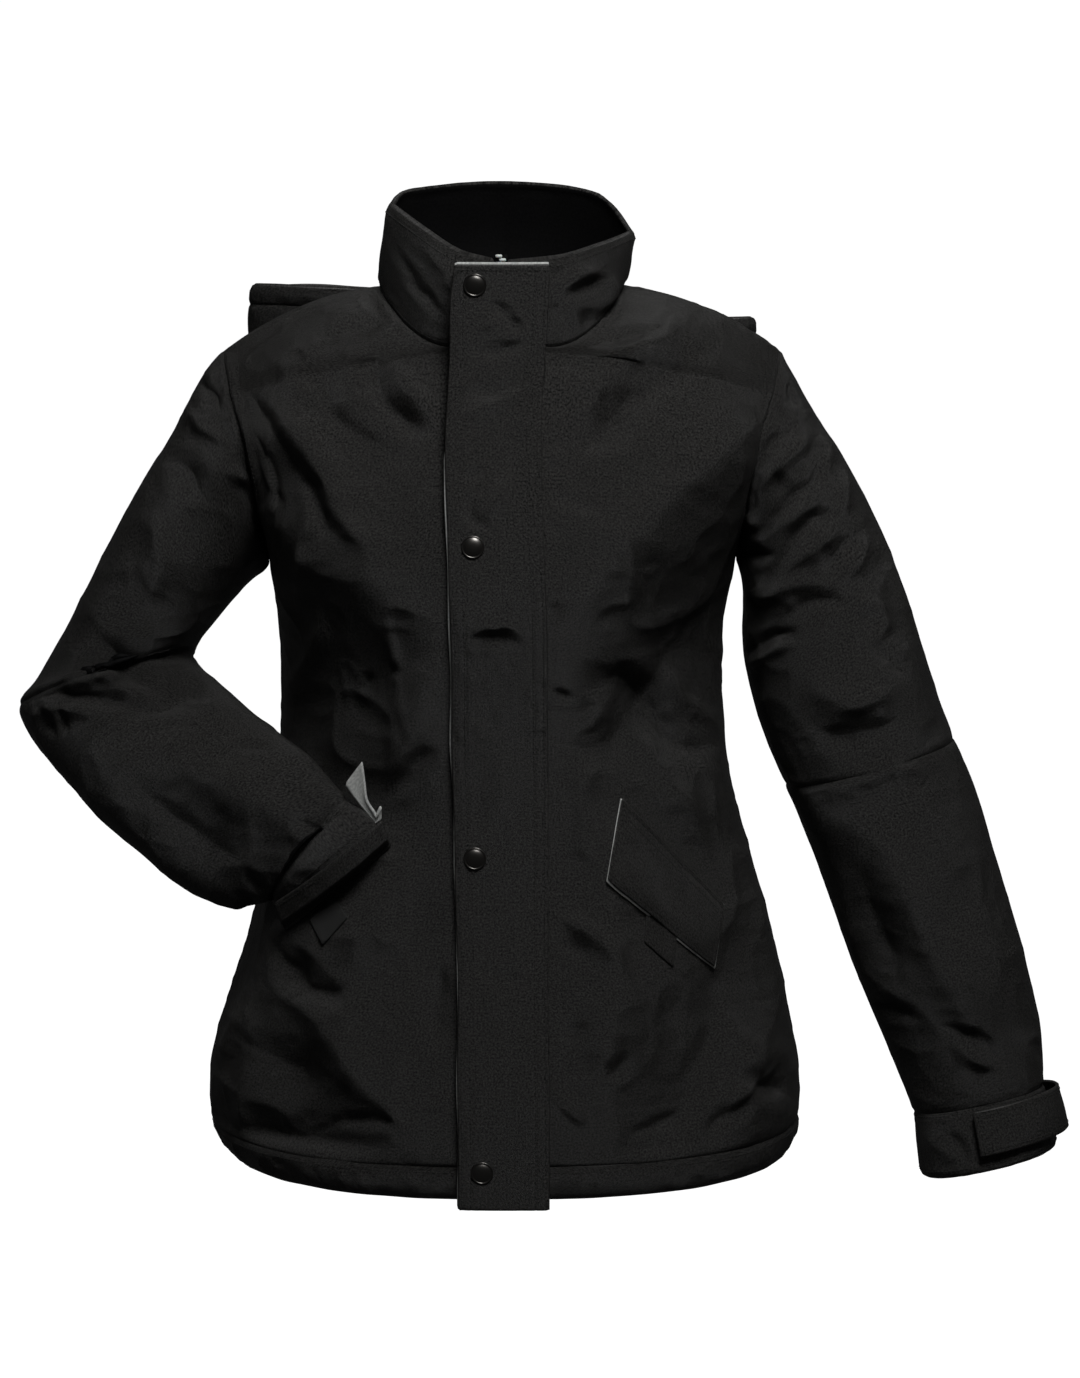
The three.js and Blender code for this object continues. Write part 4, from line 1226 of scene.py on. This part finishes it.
# %% Make the shell
WALLS = {"hem_casing": 4.2, "collar": 4.4, "hood": 2.2, "hood_edge": 3, "cuff_left": 3.6, "cuff_right": 2.6}
PANELS = ("sleeve_right_upper_back", "sleeve_right_lower_back", "hood_inner", "hood_edge_inner")
pieces = {}
for name, net in cloth.items():
    at_edge = np.exp(-((edge[name] / 4) ** 2))[..., None]
    square = unit(mix(outward(net, name in AROUND), normals[name], at_edge))
    pieces[name] = cloth_piece(
        f"{name}_cloth", net, WALLS.get(name, 2.4), name in AROUND, square=square
    )
    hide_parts(name, *[n for n in (f"{name}_back", f"{name}_inner") if n in PANELS])
print(len(pieces), "shell pieces")

# %% [markdown]
# ## What lies on the shell
# Flaps, welt and patches rest on the cloth, so each of their points is dropped on it from the
# front. A tree of the finished shell's faces answers where a straight line first meets it.

# %% Dropping points on the shell
BEFORE = 400


def tree_of(names):
    points, faces = [], []
    for name in names:
        start = len(points)
        mesh = pieces[name].data
        points += [v.co / MM for v in mesh.vertices]
        faces += [[start + i for i in p.vertices] for p in mesh.polygons]
    return BVHTree.FromPolygons(points, faces)


front_tree = tree_of(["front_left", "front_right"])


def drop(x, z, tree=front_tree):
    """Depth of the shell's front at places across and up."""
    flat = np.stack([np.ravel(x), np.ravel(z)], -1)
    hits = [tree.ray_cast(Vector((a, -BEFORE, b)), Vector((0, 1, 0)))[0] for a, b in flat]
    depths = np.array([np.nan if hit is None else hit.y for hit in hits])
    depths[np.isnan(depths)] = np.nanmedian(depths)
    return depths.reshape(np.shape(x))


def smoothed(values, times):
    for _ in range(times):
        padded = np.pad(values, 1, mode="edge")
        beside = padded[:-2, 1:-1] + padded[2:, 1:-1] + padded[1:-1, :-2] + padded[1:-1, 2:]
        values = (beside + 2 * values) / 6
    return values


def four_cornered(corners, across, along):
    """Places x and z inside four corners: the sewn edge first, then the free edge."""
    a, b, c, d = np.array(corners, float)
    u, v = np.linspace(0, 1, across)[None, :, None], np.linspace(0, 1, along)[:, None, None]
    flat = mix(mix(a, b, u), mix(d, c, u), v)
    return flat[..., 0], flat[..., 1]


print("front at the middle of the chest:", np.round(drop(np.array([90.0]), np.array([-150.0])), 1))

# %% [markdown]
# Stitches are real ones: short lengths of thread, a little sunk at both ends. A row of them
# follows a line on the cloth. Only the upper thread is made, since the lower one is inside.

# %% Stitches
STITCH, STITCH_PITCH, THREAD = 2.3, 3.3, 0.4
stitch_rows = {}


def stitch_line(owner, line, square, lift=0.12):
    """Adds stitches along a line of points; square holds the directions out of the cloth."""
    lengths = np.concatenate([[0], np.cumsum(np.linalg.norm(np.diff(line, axis=0), axis=1))])
    starts = np.arange(STITCH_PITCH / 2, lengths[-1] - STITCH, STITCH_PITCH)

    def at(values, where):
        return np.stack([np.interp(where, lengths, values[:, i]) for i in range(3)], -1)

    first, last = at(line, starts), at(line, starts + STITCH)
    out = unit(at(square, starts + STITCH / 2))
    along = unit(last - first)
    aside = np.cross(along, out)
    stitch_rows.setdefault(owner, []).append((first, last, out, aside, lift))


def stitch_object(owner):
    points, faces = [], []
    ring = [(1, 0), (0, 1), (-1, 0), (0, -1)]
    for first, last, out, aside, lift in stitch_rows[owner]:
        for a, b, n, s in zip(first, last, out, aside):
            base = len(points)
            points.append(a - n * THREAD * 0.8)
            for share in (0.22, 0.78):
                middle = mix(a, b, share) + n * lift
                points += [middle + s * THREAD * i + n * THREAD * j for i, j in ring]
            points.append(b - n * THREAD * 0.8)
            for i in range(4):
                j = (i + 1) % 4
                faces.append((base, base + 1 + j, base + 1 + i))
                faces.append((base + 1 + i, base + 1 + j, base + 5 + j, base + 5 + i))
                faces.append((base + 9, base + 5 + i, base + 5 + j))
    made = add_object(f"{owner}_stitches", np.array(points), faces, [thread])
    print(owner, "stitches:", len(points) // 10)
    return made


def column_at(net, distance, from_end=False):
    """The line of a net at a distance from its first or last column."""
    lengths = np.concatenate([[0], np.cumsum(np.linalg.norm(np.diff(net, axis=1), axis=2).mean(0))])
    target = lengths[-1] - distance if from_end else distance
    j = np.clip(np.searchsorted(lengths, target) - 1, 0, net.shape[1] - 2)
    return mix(net[:, j], net[:, j + 1], (target - lengths[j]) / (lengths[j + 1] - lengths[j]))


def row_at(net, distance, from_end=False):
    return column_at(net.swapaxes(0, 1), distance, from_end)


def sew(owner, net, rows=(), columns=(), rows_back=(), columns_back=(), around=False, square=None):
    """Stitch rows of a piece at distances from its four edges."""
    square = outward(net, around) if square is None else square
    lines = [(row_at, d, False) for d in rows] + [(row_at, d, True) for d in rows_back]
    lines += [(column_at, d, False) for d in columns] + [(column_at, d, True) for d in columns_back]
    for line_of, distance, back in lines:
        place, out = line_of(net, distance, back), line_of(net + square, distance, back)
        if around:
            place, out = np.vstack([place, place[:1]]), np.vstack([out, out[:1]])
        stitch_line(owner, place, out - place)


sew("collar", cloth["collar"], rows_back=(6,), rows=(3,), square=normals["collar"])
casing_rows = cloth["hem_casing"]
sew("hem", casing_rows, rows=(4,), square=normals["hem_casing"])
for side in SIDES:
    cuff = cloth[f"cuff_{side}"]
    sew(f"cuff_{side}", cuff, rows=(2.5,), rows_back=(4,), around=True, square=normals[f"cuff_{side}"])
    front = cloth[f"front_{side}"][FIRST_ARMHOLE + 8 :]
    out = normals[f"front_{side}"][FIRST_ARMHOLE + 8 :]
    ends = {"columns" if side == "right" else "columns_back": (3.5, 10)}
    sew(f"front_{side}", front, square=out, **ends)
for owner in list(stitch_rows):
    stitch_object(owner)

# %% [markdown]
# The storm flap is a separate strip over the zip: black outside and light grey inside. It is
# sewn down on the wearer's left, and its free edge is held by four snaps. Where that edge rolls
# a little, the grey lining peeps out as a thin light line. Both edges have two rows of stitches.

# %% Storm flap
FLAP_WALL, FLAP_BOW, FLAP_TOP, FLAP_BOTTOM = 4, 1.6, 25, -637
flap_size = through(
    [  # z, free edge x, sewn edge x, depth of the back face
        (-637, -29.5, 33, 147),
        (-610, -29.5, 33, 146),
        (-560, -30, 33, 143.5),
        (-500, -30, 32, 134.5),
        (-440, -31, 32, 124),
        (-380, -32, 32, 119),
        (-330, -33, 32, 118),
        (-280, -34, 31.5, 123.5),
        (-215, -34.5, 31, 134),
        (-160, -36, 28.5, 132),
        (-90, -37, 27, 117),
        (-60, -36, 28, 109),
        (-36, -35, 30, 104),
        (0, -34, 32, 103),
        (25, -31.5, 33, 103.5),
    ]
)
FLAP_FOLDS = [
    (-2, 5, (476, 300), (498, 310), (514, 322), (530, 318)),
    (1.6, 6, (474, 318), (500, 328), (524, 312)),
    (-2.4, 5, (452, 350), (488, 352), (520, 346), (540, 338)),
    (-1.5, 4, (484, 336), (508, 326), (532, 324)),
    (-4, 6, (440, 402), (478, 390), (506, 388), (540, 376)),
    (3.5, 7, (446, 418), (478, 412), (506, 398), (534, 392)),
    (-3, 5, (482, 492), (470, 508), (480, 524), (496, 536)),
    (3, 7, (514, 460), (498, 496), (490, 524)),
    (-2.5, 8, (519, 404), (512, 460), (486, 508)),
    (-2.2, 4, (466, 644), (497, 638), (530, 648)),
    (1.6, 5, (468, 632), (498, 628), (530, 634)),
    (-1.5, 4, (458, 478), (474, 476), (490, 472)),
    (-1.4, 8, (470, 968), (500, 978), (534, 986)),
    (1.4, 14, (486, 720), (500, 780), (492, 830)),
]
SNAPS = [(-17, 11), (-19.5, -166), (-18.5, -388), (-14.5, -610)]
FLAP_STITCHES, FLAP_STITCHES_SEWN = (2.2, 8.6), (1.8, 9.0)


def flap_net(free_shift=0, top_shift=0):
    z = np.linspace(FLAP_BOTTOM, FLAP_TOP, 300)
    free, sewn, depth = np.moveaxis(flap_size(z), -1, 0)
    free = free - (free_shift(z) if callable(free_shift) else free_shift)
    free = free + 0.7 * np.sin(z / 23) * np.sin(z / 61)
    k = np.linspace(0, 1, 44)
    x = mix(free[:, None], sewn[:, None], k)
    y = -depth[:, None] - FLAP_WALL + FLAP_BOW * (x / FLAP_HALF) ** 2
    top = np.clip((z - FLAP_TOP + 20) / 20, 0, 1) ** 4 * top_shift
    return np.stack([x, y, np.broadcast_to((z + top)[:, None], x.shape)], -1)


def flap_height(net):
    from_free = net[..., 0] - net[:, :1, 0]
    from_sewn = net[:, -1:, 0] - net[..., 0]
    lines = sum(-0.45 * np.exp(-(((from_free - d) / 0.9) ** 2)) for d in FLAP_STITCHES)
    lines += sum(-0.45 * np.exp(-(((from_sewn - d) / 0.9) ** 2)) for d in FLAP_STITCHES_SEWN)
    near_edge = np.exp(-np.minimum(from_free, from_sewn) / 9)
    puckers = (0.25 + 0.5 * near_edge) * soft_noise(net, 7, 41) + 0.5 * soft_noise(net, 24, 42)
    pressed = sum(
        -1.1 * np.exp(-(((net[..., 0] - x) ** 2 + (net[..., 2] - z) ** 2) / 130)) for x, z in SNAPS
    )
    held = ease(from_sewn / 8) * ease((FLAP_TOP - net[..., 2]) / 10)
    creases = held * fold_height(in_picture(net), FLAP_FOLDS)
    return creases + lines + puckers * ease(from_free / 3 + 0.3) + pressed


def peep(z):
    """How far the grey lining shows past the free edge."""
    window = ease((-88 - z) / 20) * (0.72 + 0.28 * ease((z + 340) / 40))
    return 2.0 * window - 0.6 + 0.35 * np.sin(z / 13)


flat_flap = flap_net()
towards = -np.sign(outward(flat_flap, False)[..., 1:2]) * outward(flat_flap, False)
flap = flat_flap + towards * flap_height(flat_flap)[..., None]
FACE_WALL, BACK_WALL = 2.0, 1.3
pieces["storm_flap"] = cloth_piece("storm_flap_face", flap, FACE_WALL, square=towards)
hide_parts("storm_flap")
shifted = flap_net(peep, 1.6)
backing = shifted + towards * (flap_height(flat_flap) - FACE_WALL - 0.1)[..., None]
pieces["flap_backing"] = cloth_piece(
    "storm_flap_backing", backing, BACK_WALL, square=towards, finishes=(grey_lining, grey_lining)
)
sew(
    "storm_flap",
    flap,
    columns=FLAP_STITCHES,
    columns_back=FLAP_STITCHES_SEWN,
    rows_back=(3,),
    square=towards,
)
stitch_object("storm_flap")

# %% [markdown]
# The snaps have a turned cap: a rolled rim, a fine groove and a low dome. A profile is turned
# round the snap's own axis, which stands square to the flap.

# %% Snaps
SNAP_PROFILE = [  # radius, height
    (7.4, -0.3),
    (8.0, 0.2),
    (8.0, 0.9),
    (7.75, 1.35),
    (7.3, 1.5),
    (6.95, 1.35),
    (6.8, 1.1),
    (6.55, 1.15),
    (6.0, 1.55),
    (4.6, 2.15),
    (2.8, 2.55),
    (1.2, 2.7),
    (0.0, 2.72),
]
SNAP_TURNS = 64


def turned(profile, middle, axis, around=SNAP_TURNS):
    """A profile turned round an axis, as points and faces."""
    aside = unit(np.cross(axis, [0, 0, 1]))
    upright = np.cross(aside, axis)
    points, faces = [], []
    for radius, height in profile[:-1]:
        for turn in np.linspace(0, 2 * math.pi, around, endpoint=False):
            spoke = aside * math.cos(turn) + upright * math.sin(turn)
            points.append(middle + axis * height + spoke * radius)
    points.append(middle + axis * profile[-1][1])
    for i in range(len(profile) - 2):
        for j in range(around):
            k = (j + 1) % around
            faces.append((i * around + j, i * around + k, (i + 1) * around + k, (i + 1) * around + j))
    last, tip = (len(profile) - 2) * around, len(points) - 1
    faces += [(last + j, last + (j + 1) % around, tip) for j in range(around)]
    faces.append(tuple(reversed(range(around))))
    return np.array(points), faces


for number, (x, z) in enumerate(SNAPS, 1):
    nearest = np.argmin((flap[..., 0] - x) ** 2 + (flap[..., 2] - z) ** 2)
    i, j = np.unravel_index(nearest, flap.shape[:2])
    points, faces = turned(SNAP_PROFILE, flap[i, j] + towards[i, j] * 0.2, towards[i, j])
    cap = add_object(f"snap_{number}_cap", points, faces, [nickel], slot="metal")
    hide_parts(f"snap_{number}")
print("snaps:", len(SNAPS))

# %% [markdown]
# The zip behind the flap has chunky moulded teeth on two tapes. Only its top end shows, above
# the flap. One rounded tooth is made and repeated, from left and right by turns.

# %% Zip
chain_depth = through(
    [  # z, depth of the chain's front
        (-632, 138), (-609, 141), (-560, 140), (-500, 130), (-440, 120.5), (-380, 115.5), (-330, 114.5),
        (-280, 119.5), (-235, 129), (ARMPIT, 132), (-146, 124), (-92, 110), (-36, 91.5), (0, 94.5), (30, 97),
    ]
)
CHAIN_BOTTOM, CHAIN_TOP, TOOTH_PITCH = -630, 31, 5.2
TOOTH_SIZE = np.array([4.6, 3.2, 2.1])


def rounded_block(size, rounding=0.32):
    """A block with its corners and edges cut back, as points round the middle and faces."""
    points, faces = [], []
    levels = [(-0.5, 1 - rounding), (-0.5 + rounding / 2, 1), (0.5 - rounding / 2, 1), (0.5, 1 - rounding)]
    corner = [
        (-0.5, -0.3), (-0.3, -0.5), (0.3, -0.5), (0.5, -0.3),
        (0.5, 0.3), (0.3, 0.5), (-0.3, 0.5), (-0.5, 0.3),
    ]
    for height, narrow in levels:
        points += [(a * narrow, b * narrow, height) for a, b in corner]
    for i in range(len(levels) - 1):
        for j in range(8):
            k = (j + 1) % 8
            faces.append((i * 8 + j, i * 8 + k, i * 8 + 8 + k, i * 8 + 8 + j))
    faces += [tuple(reversed(range(8))), tuple(range(24, 32))]
    return np.array(points) * size, faces


def repeated(points, faces, middles):
    all_points = np.concatenate([points + middle for middle in middles])
    all_faces = [tuple(i + n * len(points) for i in face) for n in range(len(middles)) for face in faces]
    return all_points, all_faces


def zip_places():
    heights_up = np.arange(CHAIN_BOTTOM, CHAIN_TOP, TOOTH_PITCH / 2)
    aside = np.where(np.arange(len(heights_up)) % 2, 1.3, -1.3)
    return np.stack([aside, -chain_depth(heights_up)[:, 0] + 0.6, heights_up], -1)


tooth_points, tooth_faces = rounded_block(TOOTH_SIZE)
teeth = add_object("zip_teeth", *repeated(tooth_points, tooth_faces, zip_places()), [milky], slot="zip_teeth")
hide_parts("zip_chain")
for side, name in ((-1, "right"), (1, "left")):
    z = np.linspace(CHAIN_BOTTOM, CHAIN_TOP, 160)
    x = np.array([2.2, 3.4, 4.6]) * side
    tape = np.stack(np.broadcast_arrays(x, -chain_depth(z) + 1.6, z[:, None]), -1)
    # The tapes get the darker copy of the shell cloth: painted shade under the flap.
    cloth_piece(f"zip_tape_{name}", tape.copy(), 0.8, finishes=(shaded_shell_cloth, shaded_shell_cloth))
print("zip teeth:", len(zip_places()))

# %% [markdown]
# The slider is closed at the top, behind the flap: a wedge shaped body of two plates, a bridge
# and a hanging pull. It isn't seen from the front, and is modelled simply.

# %% Zip slider
SLIDER_Z = 4
slider_front = -chain_depth(SLIDER_Z)[0]
slider_parts = [  # middle and size of each block
    ((0, -1.4, 0), (8.4, 1.2, 9.0)),
    ((0, -2.2, 2.0), (2.4, 1.2, 5.0)),
    ((0, -2.6, -3.4), (3.2, 0.8, 8.0)),
]
slider_points, slider_faces = [], []
for middle, size in slider_parts:
    points, faces = rounded_block(np.array(size), 0.2)
    start = sum(len(p) for p in slider_points)
    slider_points.append(points + np.array(middle) + np.array([0, slider_front, SLIDER_Z]))
    slider_faces += [tuple(i + start for i in face) for face in faces]
slider = add_object("zip_slider_body", np.concatenate(slider_points), slider_faces, [nickel], slot="metal")
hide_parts("zip_slider")
print("slider made")

# %% [markdown]
# The left hand pocket. Its flap is a slanted four cornered piece, sewn along its upper outer
# edge. The grey lining shows as a thin line along its front and lower edges, and a small tab
# sticks out below it.

# %% Left pocket
POCKET_FLAP = [(85, -351), (158, -435), (151, -476), (75, -404)]
POCKET_GAP, POCKET_FACE, POCKET_LINING = 1.4, 1.8, 0.9


def laid_on_front(corners, lift, across, along, smooth=12, tree=front_tree):
    x, z = four_cornered(corners, across, along)
    y = smoothed(drop(x, z, tree), smooth) - lift
    return np.stack([x, y, z], -1)


def facing_front(net):
    square = outward(net, False)
    return -np.sign(square[..., 1:2]) * square


def grown(corners, shifts):
    """Corners moved by a shift each."""
    return [(x + dx, z + dz) for (x, z), (dx, dz) in zip(corners, shifts)]


pocket = laid_on_front(POCKET_FLAP, POCKET_GAP + POCKET_LINING + POCKET_FACE, 70, 40)
out = facing_front(pocket)
away = border_distance(pocket, False)
pocket_height = -0.5 * np.exp(-(((away - 2.2) / 0.9) ** 2)) + 0.35 * soft_noise(pocket, 9, 51)
pocket_height += 0.6 * soft_noise(pocket, 26, 52)
pocket = pocket + out * pocket_height[..., None]
pieces["pocket_flap_left"] = cloth_piece("pocket_flap_left_face", pocket, POCKET_FACE, square=out)
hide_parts("pocket_flap_left")
LINING_SHIFTS = [(-1.2, 0.3), (0, 0), (0.2, -2.4), (-1.3, -1.9)]
lining_net = laid_on_front(grown(POCKET_FLAP, LINING_SHIFTS), POCKET_GAP + POCKET_LINING, 70, 40)
cloth_piece(
    "pocket_flap_left_lining",
    lining_net,
    POCKET_LINING,
    square=facing_front(lining_net),
    finishes=(grey_lining, grey_lining),
)
tab_net = laid_on_front([(103, -426), (124, -446), (121, -471), (101, -452)], 2.2, 24, 20)
cloth_piece("pocket_tab_left", tab_net, 1.4, square=facing_front(tab_net))
sew("pocket_left", pocket, rows=(2.2, 8), columns=(2.2,), columns_back=(2.2,), rows_back=(2.2,), square=out)
stitch_object("pocket_left")

# %% [markdown]
# The right hand pocket holds the cuff. A welt closes over it, with a patch of hook tape below,
# and a corner of the flap is turned up, so that its light grey lining shows.

# %% Right pocket
WELT = [(-84, -364), (-161, -430), (-154, -450), (-78, -383)]
welt_front = through([(0, 119), (0.25, 123), (0.5, 119), (0.75, 109), (1, 93)])
WELT_WALL = 2.6
x, z = four_cornered(WELT, 80, 30)
down = np.linspace(0, 1, 30)[:, None]
on_body = smoothed(drop(x, z), 8) - WELT_WALL - 1.0
y = mix(-welt_front(np.linspace(0, 1, 80))[:, 0], on_body, ease((down - 0.62) / 0.38))
welt = np.stack([x, y, z], -1)
out = facing_front(welt)
welt = welt + out * (0.3 * soft_noise(welt, 9, 61))[..., None]
pieces["welt"] = cloth_piece("pocket_welt_right_cloth", welt, WELT_WALL, square=out)
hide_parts("pocket_welt_right")
sew("welt", welt, rows=(2.5,), columns=(2.5,), rows_back=(2,), square=out)
stitch_object("welt")

HOOK_PATCH = [(-109, -434), (-119, -422), (-136, -439), (-126, -454)]
patch_net = laid_on_front(HOOK_PATCH, 1.9, 24, 24, 6)
patch = cloth_piece(
    "hook_patch_right", patch_net, 1.4, square=facing_front(patch_net), finishes=(hook_tape, hook_tape)
)
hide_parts("pocket_hook_patch_right")

TURNED_OUTER = [(-109, -341), (-103, -350), (-97, -358), (-92, -364), (-90, -369), (-85, -366)]
TURNED_INNER = [(-98, -325), (-96.5, -338), (-95.5, -351), (-90.5, -360), (-87.5, -364), (-84, -357)]
outer_line, inner_line = smooth_line(TURNED_OUTER), smooth_line(TURNED_INNER)
across_strip = np.linspace(0, 1, 14)[:, None, None]
strip = mix(outer_line, inner_line, across_strip)
strip_depth = drop(strip[..., 0], strip[..., 1]).min() - 4 - 2 * across_strip[..., 0] ** 2
corner_net = np.stack(np.broadcast_arrays(strip[..., 0], strip_depth, strip[..., 1]), -1)
corner = cloth_piece(
    "pocket_flap_right_lining",
    corner_net,
    2.2,
    square=facing_front(corner_net),
    finishes=(grey_lining, shell_cloth),
)
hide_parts("pocket_flap_right")
print("pockets made")

# %% [markdown]
# The cuff tab of the hanging sleeve closes round the wrist. It stands off the cuff in a shallow
# loop, and its rows of stitches form a long box.

# %% Cuff tab
TAB_PLACES, TAB_TURNS, TAB_LOOP, TAB_GAP = (15.12, 16.45), (97, -60), 7, 1.0
TAB_WALL = 2.6
tab_turns = np.linspace(*TAB_TURNS, 110)
base, _ = rings_at("left", np.linspace(*TAB_PLACES, 26), np.radians(tab_turns))
_, tab_middle = rings_at("left", np.linspace(*TAB_PLACES, 26), np.radians(tab_turns))
tab_out = outward(base, False, middle=tab_middle)
lift = TAB_GAP + TAB_WALL + TAB_LOOP * np.exp(-((tab_turns / 34) ** 2))
tab = base + tab_out * (lift + 0.4 * soft_noise(base, 14, 71))[..., None]
pieces["cuff_tab"] = cloth_piece("cuff_tab_left_cloth", tab, TAB_WALL, square=tab_out)
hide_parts("cuff_tab_left")
sew("cuff_tab", tab, rows=(3,), rows_back=(3,), columns=(3,), columns_back=(3,), square=tab_out)
stitch_object("cuff_tab")

# %% [markdown]
# ## The studio
# A plain pale floor lies where the wearer would stand, a good way below the hem. In a studio
# it has its own lights, which make it white, and dark screens keep them off the jacket. Here
# the floor and the air are simply white for the camera and nearly dark for other surfaces.
# The jacket is lit by one soft light, high and a little to the right of the camera, so that
# every fold is light above and dark below. A weaker one behind gives thin light edges.

# %% Floor and world
FLOOR_Z, FLOOR_HALF = -1450, 45000
corners = [(x * FLOOR_HALF, y * FLOOR_HALF) for x, y in ((-1, -1), (1, -1), (1, 1), (-1, 1))]
floor_finish = Finish("pale floor", Roughness=0.9, Specular_IOR_Level=0.1, Emission_Strength=1.0)
dust = floor_finish.node("ShaderNodeTexNoise", Scale=3.0, Detail=2.0)
floor_colours = ((0.93, 0.93, 0.93, 1), (0.96, 0.96, 0.96, 1))
floor_finish.feed("Base Color", floor_finish.colour_between(dust, *floor_colours))
floor_mesh = bpy.data.meshes.new("floor")
floor_mesh.from_pydata([(x * MM, y * MM, FLOOR_Z * MM) for x, y in corners], [], [(0, 1, 2, 3)])
floor_mesh.materials.append(floor_finish.material)
floor = bpy.data.objects.new("floor", floor_mesh)
bpy.context.scene.collection.objects.link(floor)
floor.visible_diffuse = False
floor.visible_glossy = False

WORLD_STRENGTH = 0.035
world = bpy.data.worlds.new("studio")
world.use_nodes = True
air = world.node_tree.nodes["Background"]
air.inputs["Color"].default_value = (1, 1, 1, 1)
ray = world.node_tree.nodes.new("ShaderNodeLightPath")
strength = world.node_tree.nodes.new("ShaderNodeMath")
strength.operation = "MAXIMUM"
strength.inputs[1].default_value = WORLD_STRENGTH
world.node_tree.links.new(ray.outputs["Is Camera Ray"], strength.inputs[0])
world.node_tree.links.new(strength.outputs["Value"], air.inputs["Strength"])
bpy.context.scene.world = world
bpy.context.scene.view_settings.view_transform = "Standard"

# %% Lights
LIGHTS = [  # name, place and aim in metres, width, height, watts, spread in degrees
    ("key", (0.4, -1.3, 1.7), (0.02, 0, -0.2), 0.8, 0.8, 12.5, 100),
    ("rim", (0, 2.1, 1.3), (0, 0, -0.25), 1.8, 0.6, 0.7, 100),
]
for name, place, aim, width, height, watts, spread in LIGHTS:
    lamp = bpy.data.objects.new(name, bpy.data.lights.new(name, "AREA"))
    lamp.data.shape = "RECTANGLE"
    lamp.data.size, lamp.data.size_y, lamp.data.energy = width, height, watts
    lamp.data.spread = math.radians(spread)
    lamp.location = place
    lamp.rotation_euler = (Vector(place) - Vector(aim)).to_track_quat("Z", "Y").to_euler()
    bpy.context.scene.collection.objects.link(lamp)
print("lights:", len(LIGHTS))
